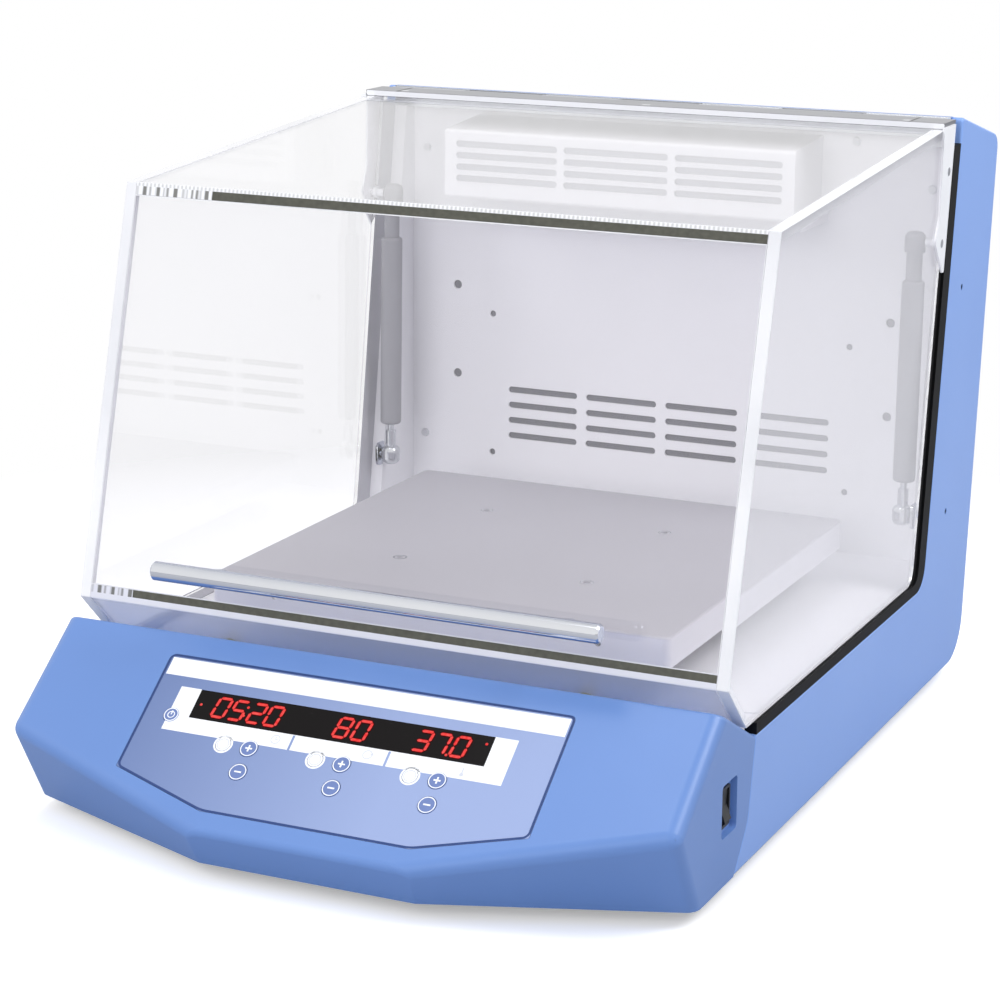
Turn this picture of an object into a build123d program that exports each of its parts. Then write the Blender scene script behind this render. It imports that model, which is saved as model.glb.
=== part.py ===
from build123d import *
import os
from math import atan2, cos, degrees, hypot, radians, sin, tan

os.makedirs("parts", exist_ok=True)

# Incubated benchtop shaker. Millimetres, +X to the right, +Y to the back, +Z up.
# The origin is on the bench, under the centre of the overall box.

# ---------------------------------------------------------------- overall sizes
WIDTH = 465.0              # over the two side panels
DEPTH = 678.0              # from the nose of the console to the back of the uprights
HEIGHT = 430.0             # from the bench to the top of the uprights
FOOT_HEIGHT = 10.0         # gap between the bench and the housing
HALF = WIDTH / 2
FRONT = -DEPTH / 2
REAR = DEPTH / 2

# general clearances and sheet thicknesses
SEAM_GAP = 0.4             # visible seam between two covers
FIT_GAP = 0.3              # parts that move past each other
SEAL_GAP = 0.3             # closed hood to its seals
BORE_GAP = 0.05            # radial running clearance of a shaft
SHEET = 1.5                # chamber sheet metal

# ---------------------------------------------------------------- side panels
SKIN = 2.5                 # painted side panel
RIM = 8.0                  # depth of the rim turned inwards all round a side panel
LEDGE_Z = 91.0             # top of the base ledge under the hood
UPRIGHT_TOP_DEPTH = 99.5   # top of an upright, front to back
UPRIGHT_LEAN = 8.5         # front edge of an upright leans back, degrees
REAR_LEAN = 6.2            # rear edge leans back, degrees
TOP_FALL = 13.3            # top edge falls to the back, degrees
CROWN_RADIUS = 12.0        # upper rear corner
HEEL_RADIUS = 35.0         # lower rear corner
INSTEP_RADIUS = 20.0       # corner between ledge and upright
EDGE_ROUND = 1.8           # rounded outer edges of painted covers
UPRIGHT_TOP_Y = REAR - UPRIGHT_TOP_DEPTH

# ---------------------------------------------------------------- console
CONSOLE_WALL = 3.0
CONSOLE_TOP_DEPTH = 110.0  # from the nose to the rear edge of the sloping top
RIDGE_Y = FRONT + CONSOLE_TOP_DEPTH
RIDGE_Z = 122.7
TOP_SLOPE = 37.9           # sloping top, degrees
NOSE_RADIUS = 5.0          # rounded front edge
FASCIA_DRAFT = 28.0        # front faces lean in towards the bench, degrees
PROW_HALF = 75.0           # half width of the middle front face, at the bottom
PROW_SWEEP = 20.8          # outer front faces turn back, degrees
SEAM_SETBACK = 58.7        # seam to the side panels behind the ridge, at the ledge
SEAM_TOP_Y = RIDGE_Y + SEAM_SETBACK
SEAM_KNEE = (RIDGE_Y + 48.0, 38.0)
SEAM_FOOT_Y = RIDGE_Y + 25.0
CHEEK_RADIUS = 9.0         # rounded side edges of the sloping top
CORNER_RADIUS = 9.0        # corners between the front faces and the sides

# ---------------------------------------------------------------- hood
ACRYLIC = 8.0
HOOD_INSET = 1.8           # sides of the hood inside the side panels
HOOD_HALF = HALF - HOOD_INSET
HOOD_TOP_RISE = 3.9        # top panel rises to the back, degrees
HOOD_FRONT_LEAN = 14.8     # front panel leans, degrees
KNEE_RISE = 10.0           # the front panel ends this far above the console's ridge
KNEE_SETBACK = 12.85       # and this far behind it
HOOD_KNEE_Y = RIDGE_Y + KNEE_SETBACK
HOOD_KNEE_Z = RIDGE_Z + KNEE_RISE
HOOD_TOP_DROP = 28.0       # front edge of the top panel below the uprights
HOOD_TOP_FRONT_Z = HEIGHT - HOOD_TOP_DROP
HOOD_TOP_FRONT_Y = HOOD_KNEE_Y + (HOOD_TOP_FRONT_Z - HOOD_KNEE_Z) * tan(radians(HOOD_FRONT_LEAN))
HOOD_LOWER_ANGLE = 45.0
GASKET_DEPTH = 23.7        # seal in front of an upright
GASKET_HEIGHT = 7.8        # seal on the ledge
GASKET_DROP = 18.5         # upper end of the seal below the uprights
GASKET_TOP_Z = HEIGHT - GASKET_DROP
HOOD_CORNER_RADIUS = 15.0
HINGE_SETBACK = 8.5        # axis of the long hinge in front of the uprights' top edge
HINGE_DROP = 4.4
HINGE_Y = UPRIGHT_TOP_Y - HINGE_SETBACK
HINGE_Z = HEIGHT - HINGE_DROP

# ---------------------------------------------------------------- chamber
WALL_INSET = 10.0          # side walls inside the rims of the side panels
CHAMBER_HALF = HALF - RIM - WALL_INSET
BACK_WALL_SETBACK = 10.5   # back wall behind the uprights' top edge
BACK_WALL_Y = UPRIGHT_TOP_Y + BACK_WALL_SETBACK
CHAMBER_TOP_DROP = 22.0
CHAMBER_TOP_Z = HEIGHT - CHAMBER_TOP_DROP
FLOOR_FRONT_Y = RIDGE_Y + 95.0
FLOOR_HALF = HALF - RIM - FIT_GAP
FLOOR_CORNER = 20.0

# ---------------------------------------------------------------- platform and drive
PLATFORM_WIDTH = 334.0
PLATFORM_DEPTH = 326.0
PLATFORM_Y = 13.5          # centre of the platform at its rear dead centre
PLATFORM_TOP_Z = 139.0
PLATFORM_SHEET = 2.0
PLATFORM_FLANGE = 21.0     # down-turned edge, over all
ORBIT_RADIUS = 10.0        # 20 mm orbit
FIXING_PITCH = 141.0       # square of platform fixing screws
GUIDE_CIRCLE = 112.0       # radius of the circle of the guide cranks
DRIVE_Y = PLATFORM_Y - ORBIT_RADIUS

# ================================================================ lines of the side view
BASE_Z = FOOT_HEIGHT
TAN_LEAN = tan(radians(UPRIGHT_LEAN))
TAN_BACK = tan(radians(REAR_LEAN))
TAN_FALL = tan(radians(TOP_FALL))
TAN_RISE = tan(radians(HOOD_TOP_RISE))


def upright_front(z):
    """Y of the front edge of an upright at height z."""
    return UPRIGHT_TOP_Y - (HEIGHT - z) * TAN_LEAN


def hood_rear(z):
    """Y of the rear edge of the hood's side panels at height z."""
    return upright_front(z) - GASKET_DEPTH - SEAL_GAP


def hood_top(y):
    """Z of the outer face of the hood's top panel at y."""
    return HOOD_TOP_FRONT_Z + (y - HOOD_TOP_FRONT_Y) * TAN_RISE


def upright_top(y):
    """Z of the top edge of an upright at y."""
    return HEIGHT - (y - UPRIGHT_TOP_Y) * TAN_FALL


# The rounded upper rear corner touches the rear end of the overall box.
CROWN_Y = REAR - CROWN_RADIUS
CROWN_Z = upright_top(CROWN_Y) - CROWN_RADIUS / cos(radians(TOP_FALL))
REAR_TOUCH = (CROWN_Y + CROWN_RADIUS * cos(radians(REAR_LEAN)),
              CROWN_Z - CROWN_RADIUS * sin(radians(REAR_LEAN)))


def rear_edge(z):
    """Y of the rear edge of an upright at height z."""
    return REAR_TOUCH[0] + (z - REAR_TOUCH[1]) * TAN_BACK


# Sharp upper rear corner: the top edge meets the rear edge.
CROWN_CORNER_Y = (rear_edge(HEIGHT + UPRIGHT_TOP_Y * TAN_FALL)) / (1 + TAN_FALL * TAN_BACK)
CROWN_CORNER = (CROWN_CORNER_Y, upright_top(CROWN_CORNER_Y))
HEEL_CORNER = (rear_edge(BASE_Z), BASE_Z)


def moved(points, distance):
    """An open line of points moved sideways to its right by a distance, with mitred corners."""
    result = []
    for index, (y, z) in enumerate(points):
        normals = []
        for a, b in ((index - 1, index), (index, index + 1)):
            if a >= 0 and b < len(points):
                length = hypot(points[b][0] - points[a][0], points[b][1] - points[a][1])
                normals.append(((points[b][1] - points[a][1]) / length,
                                -(points[b][0] - points[a][0]) / length))
        if len(normals) == 1:
            n = normals[0]
        else:
            sy, sz = normals[0][0] + normals[1][0], normals[0][1] + normals[1][1]
            stretch = 2 / (sy * sy + sz * sz)
            n = (sy * stretch, sz * stretch)
        result.append((y + distance * n[0], z + distance * n[1]))
    return result


def outline(points, rounds=None):
    """Closed outline in the open sketch. rounds gives corner radii by the point's place."""
    Polygon(*points, align=None)
    for place, radius in (rounds or {}).items():
        corner = vertices().sort_by_distance(Vector(*points[place]))[0]
        fillet(corner, radius)


def near(part, *points):
    """The edge of a part nearest to each of some points."""
    return [part.edges().sort_by_distance(point)[0] for point in points]


# ================================================================ side panels
SEAM = [(SEAM_TOP_Y, LEDGE_Z), SEAM_KNEE, (SEAM_FOOT_Y, BASE_Z)]
PANEL_SEAM = moved(SEAM, -SEAM_GAP)
PANEL_OUTLINE = [
    (PANEL_SEAM[0][0], LEDGE_Z),
    PANEL_SEAM[1],
    (PANEL_SEAM[2][0], BASE_Z),
    HEEL_CORNER,
    CROWN_CORNER,
    (UPRIGHT_TOP_Y, HEIGHT),
    (upright_front(LEDGE_Z), LEDGE_Z),
]
PANEL_ROUNDS = {1: 25.0, 3: HEEL_RADIUS, 4: CROWN_RADIUS, 5: 3.0, 6: INSTEP_RADIUS}
PANEL_SCREW_RADIUS = 2.4
PANEL_SCREWS = [(upright_front(303.5) + 35.0, 303.5), (upright_front(136.8) + 44.0, 136.8)]

for side, sign in (("right", 1), ("left", -1)):
    with BuildPart() as side_panel:
        with BuildSketch(Plane.YZ.offset(sign * (HALF - RIM))):
            outline(PANEL_OUTLINE, PANEL_ROUNDS)
        extrude(amount=sign * RIM)
        outer_edges = side_panel.faces().sort_by(Axis.X)[-1 if sign > 0 else 0].edges()
        fillet(outer_edges, EDGE_ROUND)
        with BuildSketch(Plane.YZ.offset(sign * (HALF - RIM))):
            outline(PANEL_OUTLINE, PANEL_ROUNDS)
            offset(amount=-SKIN, mode=Mode.REPLACE)
        extrude(amount=sign * (RIM - SKIN), mode=Mode.SUBTRACT)
        with BuildSketch(Plane.YZ.offset(sign * HALF)):
            with Locations(*PANEL_SCREWS):
                Circle(PANEL_SCREW_RADIUS)
        extrude(amount=-sign * SKIN, mode=Mode.SUBTRACT)
    side_panel.part.label = f"side_panel_{side}"
    export_step(side_panel.part, f"parts/side_panel_{side}.step")

# ================================================================ rear cover
COVER_SHEET = 2.0
COVER_HALF = HALF - RIM
COVER_UNDER = 60.0         # the cover runs this far under the housing
COVER_LINE = [
    (UPRIGHT_TOP_Y, HEIGHT),
    CROWN_CORNER,
    HEEL_CORNER,
    (HEEL_CORNER[0] - COVER_UNDER, BASE_Z),
]
COVER_INNER = moved(COVER_LINE, COVER_SHEET)

# Plane of the leaning rear face, seen from behind: local x to the left-hand side, local y up it
REAR_FACE = Plane(origin=(0, rear_edge(BASE_Z), BASE_Z), x_dir=(-1, 0, 0),
                  z_dir=(0, cos(radians(REAR_LEAN)), -sin(radians(REAR_LEAN))))

INLET_X, INLET_UP = 130.0, 62.0          # place of the mains inlet on the rear face
INLET_WIDTH, INLET_HEIGHT = 28.0, 48.0   # its body with the fuse drawer
SERIAL_X, SERIAL_UP = 40.0, 62.0         # place of the data sockets
FUSE_WIDTH, FUSE_HEIGHT = 24.0, 14.0
SERIAL_PITCH = 42.0
SERIAL_WIDTH, SERIAL_HEIGHT = 18.0, 9.0
SERIAL_FLANGE, SERIAL_RIM = 12.0, 3.5    # how much wider and higher their plates are
NOZZLE_X, NOZZLE_UP, NOZZLE_PITCH = -130.0, 70.0, 40.0
NOZZLE_RADIUS = 4.0
NOZZLE_COLLAR = 8.0
COVER_VENT_DROP = 145.0                  # middle of the vents below the uprights
COVER_VENT_PITCH_X, COVER_VENT_PITCH_Z = 64.0, 11.0
COVER_VENT_LENGTH, COVER_VENT_HEIGHT = 54.0, 5.0

with BuildPart() as rear_cover:
    with BuildSketch(Plane.YZ):
        outline(COVER_LINE + COVER_INNER[::-1],
                {1: CROWN_RADIUS, 2: HEEL_RADIUS, 5: HEEL_RADIUS - COVER_SHEET,
                 6: CROWN_RADIUS - COVER_SHEET})
    extrude(amount=COVER_HALF, both=True)
    with BuildSketch(REAR_FACE):
        with Locations((INLET_X, INLET_UP)):
            Rectangle(INLET_WIDTH + 2 * FIT_GAP, INLET_HEIGHT + 2 * FIT_GAP)
        with Locations(*[(SERIAL_X - n * SERIAL_PITCH, SERIAL_UP) for n in range(2)]):
            Rectangle(SERIAL_WIDTH + 2 * FIT_GAP, SERIAL_HEIGHT + 2 * FIT_GAP)
        with Locations(*[(NOZZLE_X - n * NOZZLE_PITCH, NOZZLE_UP) for n in range(2)]):
            Circle(NOZZLE_RADIUS + 2 * FIT_GAP)
        with Locations((0, HEIGHT - COVER_VENT_DROP)):
            with GridLocations(COVER_VENT_PITCH_X, COVER_VENT_PITCH_Z, 4, 6):
                SlotOverall(COVER_VENT_LENGTH, COVER_VENT_HEIGHT)
    extrude(amount=-2 * COVER_SHEET, mode=Mode.SUBTRACT)
rear_cover.part.label = "rear_cover"
export_step(rear_cover.part, "parts/rear_cover.step")

# ================================================================ console
SLOPE = radians(TOP_SLOPE)
DRAFT = radians(FASCIA_DRAFT)
SWEEP = radians(PROW_SWEEP)
NOSE_Y = FRONT + NOSE_RADIUS
NOSE_Z = RIDGE_Z - (NOSE_RADIUS + (RIDGE_Y - NOSE_Y) * sin(SLOPE)) / cos(SLOPE)


def slope_z(y, inset=0.0):
    """Z of the sloping top, or of a plane inset below it."""
    return RIDGE_Z - inset / cos(SLOPE) + (y - RIDGE_Y) * tan(SLOPE)


def fascia_y(z, inset=0.0):
    """Y of the middle front face at height z, or of a plane inset behind it."""
    reach = (NOSE_RADIUS - inset) / cos(DRAFT)
    return NOSE_Y - reach + (NOSE_Z - z) * tan(DRAFT)


def nose_corner(inset=0.0):
    """Sharp front corner, where the sloping top meets the middle front face."""
    start = slope_z(0, inset)
    run = tan(SLOPE)
    y = (fascia_y(0, inset) - start * tan(DRAFT)) / (1 + run * tan(DRAFT))
    return (y, slope_z(y, inset))


BACK_FALL = (RIDGE_Z - LEDGE_Z) / (SEAM_TOP_Y - RIDGE_Y)   # slope behind the ridge


def back_z(y, inset=0.0):
    """Z of the face that falls from the ridge to the ledge."""
    return RIDGE_Z - (y - RIDGE_Y) * BACK_FALL - inset * hypot(1, BACK_FALL)


def ridge_corner(inset):
    """Inner corner under the ridge."""
    y = RIDGE_Y + (inset / cos(SLOPE) - inset * hypot(1, BACK_FALL)) / (tan(SLOPE) + BACK_FALL)
    return (y, slope_z(y, inset))


def front_facet(sign, inset=0.0):
    """Plane of an outer front face, facing out."""
    normal = Vector(sign * sin(SWEEP) * cos(DRAFT), -cos(SWEEP) * cos(DRAFT), -sin(DRAFT))
    bend = Vector(sign * PROW_HALF, fascia_y(BASE_Z), BASE_Z)
    return Plane(origin=bend - normal * inset, z_dir=normal)


PANEL = Plane(origin=(0, RIDGE_Y, RIDGE_Z), x_dir=(1, 0, 0), z_dir=(0, -sin(SLOPE), cos(SLOPE)))

MEMBRANE = 1.0
MEMBRANE_HALF = 143.0
MEMBRANE_FROM = 17.0       # down the slope from the ridge
MEMBRANE_SHOULDER = 105.0
MEMBRANE_TO = 126.0
MEMBRANE_NOSE_HALF = 72.5
MEMBRANE_RADIUS = 4.0
MEMBRANE_OUTLINE = [
    (-MEMBRANE_HALF, -MEMBRANE_FROM),
    (MEMBRANE_HALF, -MEMBRANE_FROM),
    (MEMBRANE_HALF, -MEMBRANE_SHOULDER),
    (MEMBRANE_NOSE_HALF, -MEMBRANE_TO),
    (-MEMBRANE_NOSE_HALF, -MEMBRANE_TO),
    (-MEMBRANE_HALF, -MEMBRANE_SHOULDER),
]
MEMBRANE_ROUNDS = {0: MEMBRANE_RADIUS, 1: MEMBRANE_RADIUS, 2: 1.5, 3: 5.0, 4: 5.0, 5: 1.5}
WINDOW_LEFT, WINDOW_RIGHT = -110.0, 97.5
WINDOW_FROM, WINDOW_TO = 40.3, 62.0
WINDOW_X = (WINDOW_LEFT + WINDOW_RIGHT) / 2
WINDOW_Y = -(WINDOW_FROM + WINDOW_TO) / 2
WINDOW_WIDTH = WINDOW_RIGHT - WINDOW_LEFT
WINDOW_HEIGHT = WINDOW_TO - WINDOW_FROM

# keys: name, x, distance down the slope, radius
KEY_GROUP_PITCH = 65.6
KEY_ROW = 77.0
KEY_LOW_ROW = 94.7
SELECT_KEY_X = -77.8
PLUS_KEY_X = -59.3
KEY_RADIUS = 6.0
SELECT_RADIUS = 5.0
KEYS = [("key_power", -122.7, 62.1, 5.3)]
for n, group in enumerate(("time", "speed", "heat")):
    KEYS += [
        (f"key_{group}_select", SELECT_KEY_X + n * KEY_GROUP_PITCH, KEY_ROW, SELECT_RADIUS),
        (f"key_{group}_plus", PLUS_KEY_X + n * KEY_GROUP_PITCH, KEY_ROW, KEY_RADIUS),
        (f"key_{group}_minus", PLUS_KEY_X + n * KEY_GROUP_PITCH, KEY_LOW_ROW, KEY_RADIUS),
    ]
KEY_TRAVEL = 0.5
KEY_POCKET = 0.9           # room under a key, in the floor of the recess
KEY_STEM = 2.0

BOARD_DROP = 16.0          # circuit board below the sloping face
BOARD_SHEET = 1.6
BOARD_HALF = 120.0
BOARD_FROM, BOARD_TO = 36.0, 104.0
BOSS_RADIUS = 4.0
BOSS_PLACES = [(sx * (BOARD_HALF - 7.0), -d) for sx in (1, -1) for d in (BOARD_FROM + 6, BOARD_TO - 6)]

ROCKER_Y, ROCKER_Z = RIDGE_Y + 15.0, 58.8        # power switch on the right side of the console
RECESS_WIDTH, RECESS_HEIGHT, RECESS_DEPTH = 26.0, 34.5, 4.0
BEZEL_WIDTH, BEZEL_HEIGHT = 15.0, 26.0
BUMPER_X, BUMPER_Y, BUMPER_RADIUS = 128.0, RIDGE_Y + 40.0, 4.5

with BuildPart(mode=Mode.PRIVATE) as console_core:
    with BuildSketch(Plane.YZ):
        outline([
            ridge_corner(CONSOLE_WALL),
            (SEAM_TOP_Y + 20, back_z(SEAM_TOP_Y + 20, CONSOLE_WALL)),
            (SEAM_TOP_Y + 20, BASE_Z - 1),
            (fascia_y(BASE_Z - 1, CONSOLE_WALL), BASE_Z - 1),
            nose_corner(CONSOLE_WALL),
        ])
    extrude(amount=HALF - CONSOLE_WALL, both=True)
    for sign in (1, -1):
        split(bisect_by=front_facet(sign, CONSOLE_WALL), keep=Keep.BOTTOM)

RIDGE_MIDDLE = (0, RIDGE_Y, RIDGE_Z)
with BuildPart() as console:
    with BuildSketch(Plane.YZ):
        outline([(RIDGE_Y, RIDGE_Z), *SEAM, (fascia_y(BASE_Z), BASE_Z), nose_corner()], {2: 25.0})
    extrude(amount=HALF, both=True)
    for sign in (1, -1):
        split(bisect_by=front_facet(sign), keep=Keep.BOTTOM)
    side_corners = [e for e in console.edges()
                    if abs(abs(e.center().X) - HALF) < 1 and e.center().Y < RIDGE_Y
                    and abs(slope_z(e.center().Y) - e.center().Z) > 5 and e.center().Z > BASE_Z + 1]
    fillet(side_corners, CORNER_RADIUS)
    corner_top = [e for e in console.edges()
                  if abs(abs(e.center().X) - HALF) < 1 and e.center().Y < RIDGE_Y and e.center().Z < RIDGE_Z
                  and e.center().Z > BASE_Z + 1]
    fillet(corner_top, CHEEK_RADIUS)
    front_edges = [e for e in console.edges()
                   if e.center().Y < RIDGE_Y - 40 and e.center().Z > BASE_Z + 5
                   and abs(slope_z(e.center().Y) - e.center().Z) < 0.5 and abs(e.center().X) < HALF - 20]
    fillet(front_edges, NOSE_RADIUS)
    fillet(near(console, RIDGE_MIDDLE), 3.0)
    add(console_core.part, mode=Mode.SUBTRACT)
    with BuildSketch(PANEL):
        outline(MEMBRANE_OUTLINE, MEMBRANE_ROUNDS)
        offset(amount=FIT_GAP, mode=Mode.REPLACE)
    extrude(amount=-MEMBRANE, mode=Mode.SUBTRACT)
    with BuildSketch(PANEL):
        with Locations((WINDOW_X, WINDOW_Y)):
            Rectangle(WINDOW_WIDTH - 6, WINDOW_HEIGHT - 4)
        for name, x, down, radius in KEYS:
            with Locations((x, -down)):
                Circle(KEY_STEM + FIT_GAP)
    extrude(amount=-2 * CONSOLE_WALL, mode=Mode.SUBTRACT)
    with BuildSketch(PANEL.offset(-MEMBRANE)):
        for name, x, down, radius in KEYS:
            with Locations((x, -down)):
                Circle(radius + FIT_GAP)
    extrude(amount=-KEY_POCKET, mode=Mode.SUBTRACT)
    with BuildSketch(PANEL.offset(-CONSOLE_WALL)):
        with Locations(*BOSS_PLACES):
            Circle(BOSS_RADIUS)
    extrude(amount=-(BOARD_DROP - CONSOLE_WALL))
    with BuildSketch(Plane.YZ.offset(HALF - CONSOLE_WALL)):
        with Locations((ROCKER_Y, ROCKER_Z)):
            Rectangle(RECESS_WIDTH + 2 * SHEET, RECESS_HEIGHT + 2 * SHEET)
    extrude(amount=-(RECESS_DEPTH - CONSOLE_WALL + SHEET))
    with BuildSketch(Plane.YZ.offset(HALF)):
        with Locations((ROCKER_Y, ROCKER_Z)):
            RectangleRounded(RECESS_WIDTH, RECESS_HEIGHT, 3.0)
    extrude(amount=-RECESS_DEPTH, taper=8, mode=Mode.SUBTRACT)
    with BuildSketch(Plane.YZ.offset(HALF - RECESS_DEPTH)):
        with Locations((ROCKER_Y, ROCKER_Z)):
            Rectangle(BEZEL_WIDTH - 2 + FIT_GAP, BEZEL_HEIGHT - 2 + FIT_GAP)
    extrude(amount=-3 * SHEET, mode=Mode.SUBTRACT)
console.part.label = "console"
export_step(console.part, "parts/console.step")

with BuildPart() as membrane:
    with BuildSketch(PANEL.offset(-MEMBRANE)):
        outline(MEMBRANE_OUTLINE, MEMBRANE_ROUNDS)
        with Locations((WINDOW_X, WINDOW_Y)):
            Rectangle(WINDOW_WIDTH, WINDOW_HEIGHT, mode=Mode.SUBTRACT)
        for name, x, down, radius in KEYS:
            with Locations((x, -down)):
                Circle(radius + FIT_GAP, mode=Mode.SUBTRACT)
    extrude(amount=MEMBRANE)
membrane.part.label = "membrane"
export_step(membrane.part, "parts/membrane.step")

with BuildPart() as display_window:
    with BuildSketch(PANEL.offset(-MEMBRANE)):
        with Locations((WINDOW_X, WINDOW_Y)):
            Rectangle(WINDOW_WIDTH, WINDOW_HEIGHT)
    extrude(amount=MEMBRANE)
display_window.part.label = "display_window"
export_step(display_window.part, "parts/display_window.step")

SWITCH_TOP = BOARD_DROP - 3.2
with BuildPart() as display_board:
    with BuildSketch(PANEL.offset(-BOARD_DROP)):
        with Locations((0, -(BOARD_FROM + BOARD_TO) / 2)):
            RectangleRounded(2 * BOARD_HALF, BOARD_TO - BOARD_FROM, 3.0)
    extrude(amount=-BOARD_SHEET)
    with BuildSketch(PANEL.offset(-BOARD_DROP)):
        with Locations((WINDOW_X, WINDOW_Y)):
            Rectangle(WINDOW_WIDTH - 8, WINDOW_HEIGHT - 6)
    extrude(amount=BOARD_DROP - MEMBRANE)
    with BuildSketch(PANEL.offset(-BOARD_DROP)):
        for name, x, down, radius in KEYS[1:]:
            with Locations((x, -down)):
                Rectangle(6.0, 6.0)
    extrude(amount=BOARD_DROP - SWITCH_TOP)
display_board.part.label = "display_board"
export_step(display_board.part, "parts/display_board.step")

KEY_PROUD = 0.3
KEY_SUNK = 0.3
for name, x, down, radius in KEYS:
    with BuildPart() as key:
        with BuildSketch(PANEL.offset(KEY_PROUD)):
            with Locations((x, -down)):
                Circle(radius)
        extrude(amount=-(KEY_PROUD + MEMBRANE + KEY_SUNK))
        rings = key.edges().filter_by(GeomType.CIRCLE)
        fillet(rings.sort_by_distance(PANEL.from_local_coords((x, -down, KEY_PROUD)))[0], 0.25)
        with BuildSketch(PANEL):
            with Locations((x, -down)):
                Circle(KEY_STEM)
        extrude(amount=-(SWITCH_TOP - KEY_TRAVEL - FIT_GAP))
    key.part.label = name
    export_step(key.part, f"parts/{name}.step")

# Power switch: the rocker turns on a cross pivot in its housing
ROCKER_FLOOR = HALF - RECESS_DEPTH
BEZEL_SHEET = 1.5
ROCKER_PIVOT_X = ROCKER_FLOOR - 4.5
ROCKER_WIDTH, ROCKER_HALF_HEIGHT = 10.6, 9.8
ROCKER_TILT = 8.0
PIVOT_RADIUS = 1.5
CAVITY_WIDTH, CAVITY_HEIGHT = 11.4, 22.2
ROCKER_HOUSING_DEPTH = 15.0
PIVOT_REACH = 6.4
with BuildPart() as rocker_housing:
    with BuildSketch(Plane.YZ.offset(ROCKER_FLOOR)):
        with Locations((ROCKER_Y, ROCKER_Z)):
            RectangleRounded(BEZEL_WIDTH, BEZEL_HEIGHT, 1.5)
    extrude(amount=BEZEL_SHEET)
    with BuildSketch(Plane.YZ.offset(ROCKER_FLOOR)):
        with Locations((ROCKER_Y, ROCKER_Z)):
            Rectangle(BEZEL_WIDTH - 2, BEZEL_HEIGHT - 2)
    extrude(amount=-ROCKER_HOUSING_DEPTH)
    with BuildSketch(Plane.YZ.offset(ROCKER_FLOOR + BEZEL_SHEET)):
        with Locations((ROCKER_Y, ROCKER_Z)):
            Rectangle(CAVITY_WIDTH, CAVITY_HEIGHT)
    extrude(amount=-(ROCKER_HOUSING_DEPTH - 2 + BEZEL_SHEET), mode=Mode.SUBTRACT)
    with BuildSketch(Plane.XZ.offset(-ROCKER_Y)):
        with Locations((ROCKER_PIVOT_X, ROCKER_Z)):
            Circle(PIVOT_RADIUS + BORE_GAP)
    extrude(amount=PIVOT_REACH + 0.05, both=True, mode=Mode.SUBTRACT)
rocker_housing.part.label = "rocker_housing"
export_step(rocker_housing.part, "parts/rocker_housing.step")

with BuildPart() as rocker:
    with BuildSketch(Plane.XZ.offset(-ROCKER_Y)):
        with Locations((ROCKER_PIVOT_X, ROCKER_Z)):
            with Locations(Rotation(0, 0, ROCKER_TILT)):
                Polygon((6.5, ROCKER_HALF_HEIGHT), (4.6, 0), (6.5, -ROCKER_HALF_HEIGHT),
                        (0, -ROCKER_HALF_HEIGHT), (-3, 0), (0, ROCKER_HALF_HEIGHT), align=None)
    extrude(amount=ROCKER_WIDTH / 2, both=True)
    with BuildSketch(Plane.XZ.offset(-ROCKER_Y)):
        with Locations((ROCKER_PIVOT_X, ROCKER_Z)):
            Circle(PIVOT_RADIUS)
    extrude(amount=PIVOT_REACH, both=True)
rocker.part.label = "rocker"
export_step(rocker.part, "parts/rocker.step")

# ================================================================ base
BASE_SHEET = 2.0
LEDGE_SHEET = 2.0
PAN_REAR = HEEL_CORNER[0] - COVER_UNDER
PAN_SHOULDER_Y = RIDGE_Y - 26.0
PAN_FRONT_Y = FRONT + 27.0
PAN_OUTLINE = [
    (-COVER_HALF, PAN_REAR), (COVER_HALF, PAN_REAR), (COVER_HALF, PAN_SHOULDER_Y),
    (PROW_HALF, PAN_FRONT_Y), (-PROW_HALF, PAN_FRONT_Y), (-COVER_HALF, PAN_SHOULDER_Y),
]
FOOT_RADIUS = 15.0
FOOT_X, FOOT_FRONT_Y, FOOT_REAR_Y = 170.0, RIDGE_Y + 33.0, BACK_WALL_Y - 60.0
PAN_WALL_FRONT = SEAM_TOP_Y + 5.3
LEDGE_FRONT = SEAM_TOP_Y + SEAM_GAP
with BuildPart() as base_pan:
    with BuildSketch(Plane.XY.offset(BASE_Z)):
        outline(PAN_OUTLINE)
    extrude(amount=BASE_SHEET)
    for sign in (1, -1):
        with BuildSketch(Plane.YZ.offset(sign * COVER_HALF)):
            outline([(PAN_WALL_FRONT, BASE_Z), (PAN_REAR, BASE_Z),
                     (PAN_REAR, LEDGE_Z - LEDGE_SHEET), (PAN_WALL_FRONT, LEDGE_Z - LEDGE_SHEET)])
        extrude(amount=-sign * BASE_SHEET)
base_pan.part.label = "base_pan"
export_step(base_pan.part, "parts/base_pan.step")

with BuildPart() as feet:
    with BuildSketch(Plane.XY):
        with Locations(*[(sx * FOOT_X, y) for sx in (1, -1) for y in (FOOT_FRONT_Y, FOOT_REAR_Y)]):
            Circle(FOOT_RADIUS - 1.5)
    extrude(amount=BASE_Z, taper=-8)
feet.part.label = "feet"
export_step(feet.part, "parts/feet.step")

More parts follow.
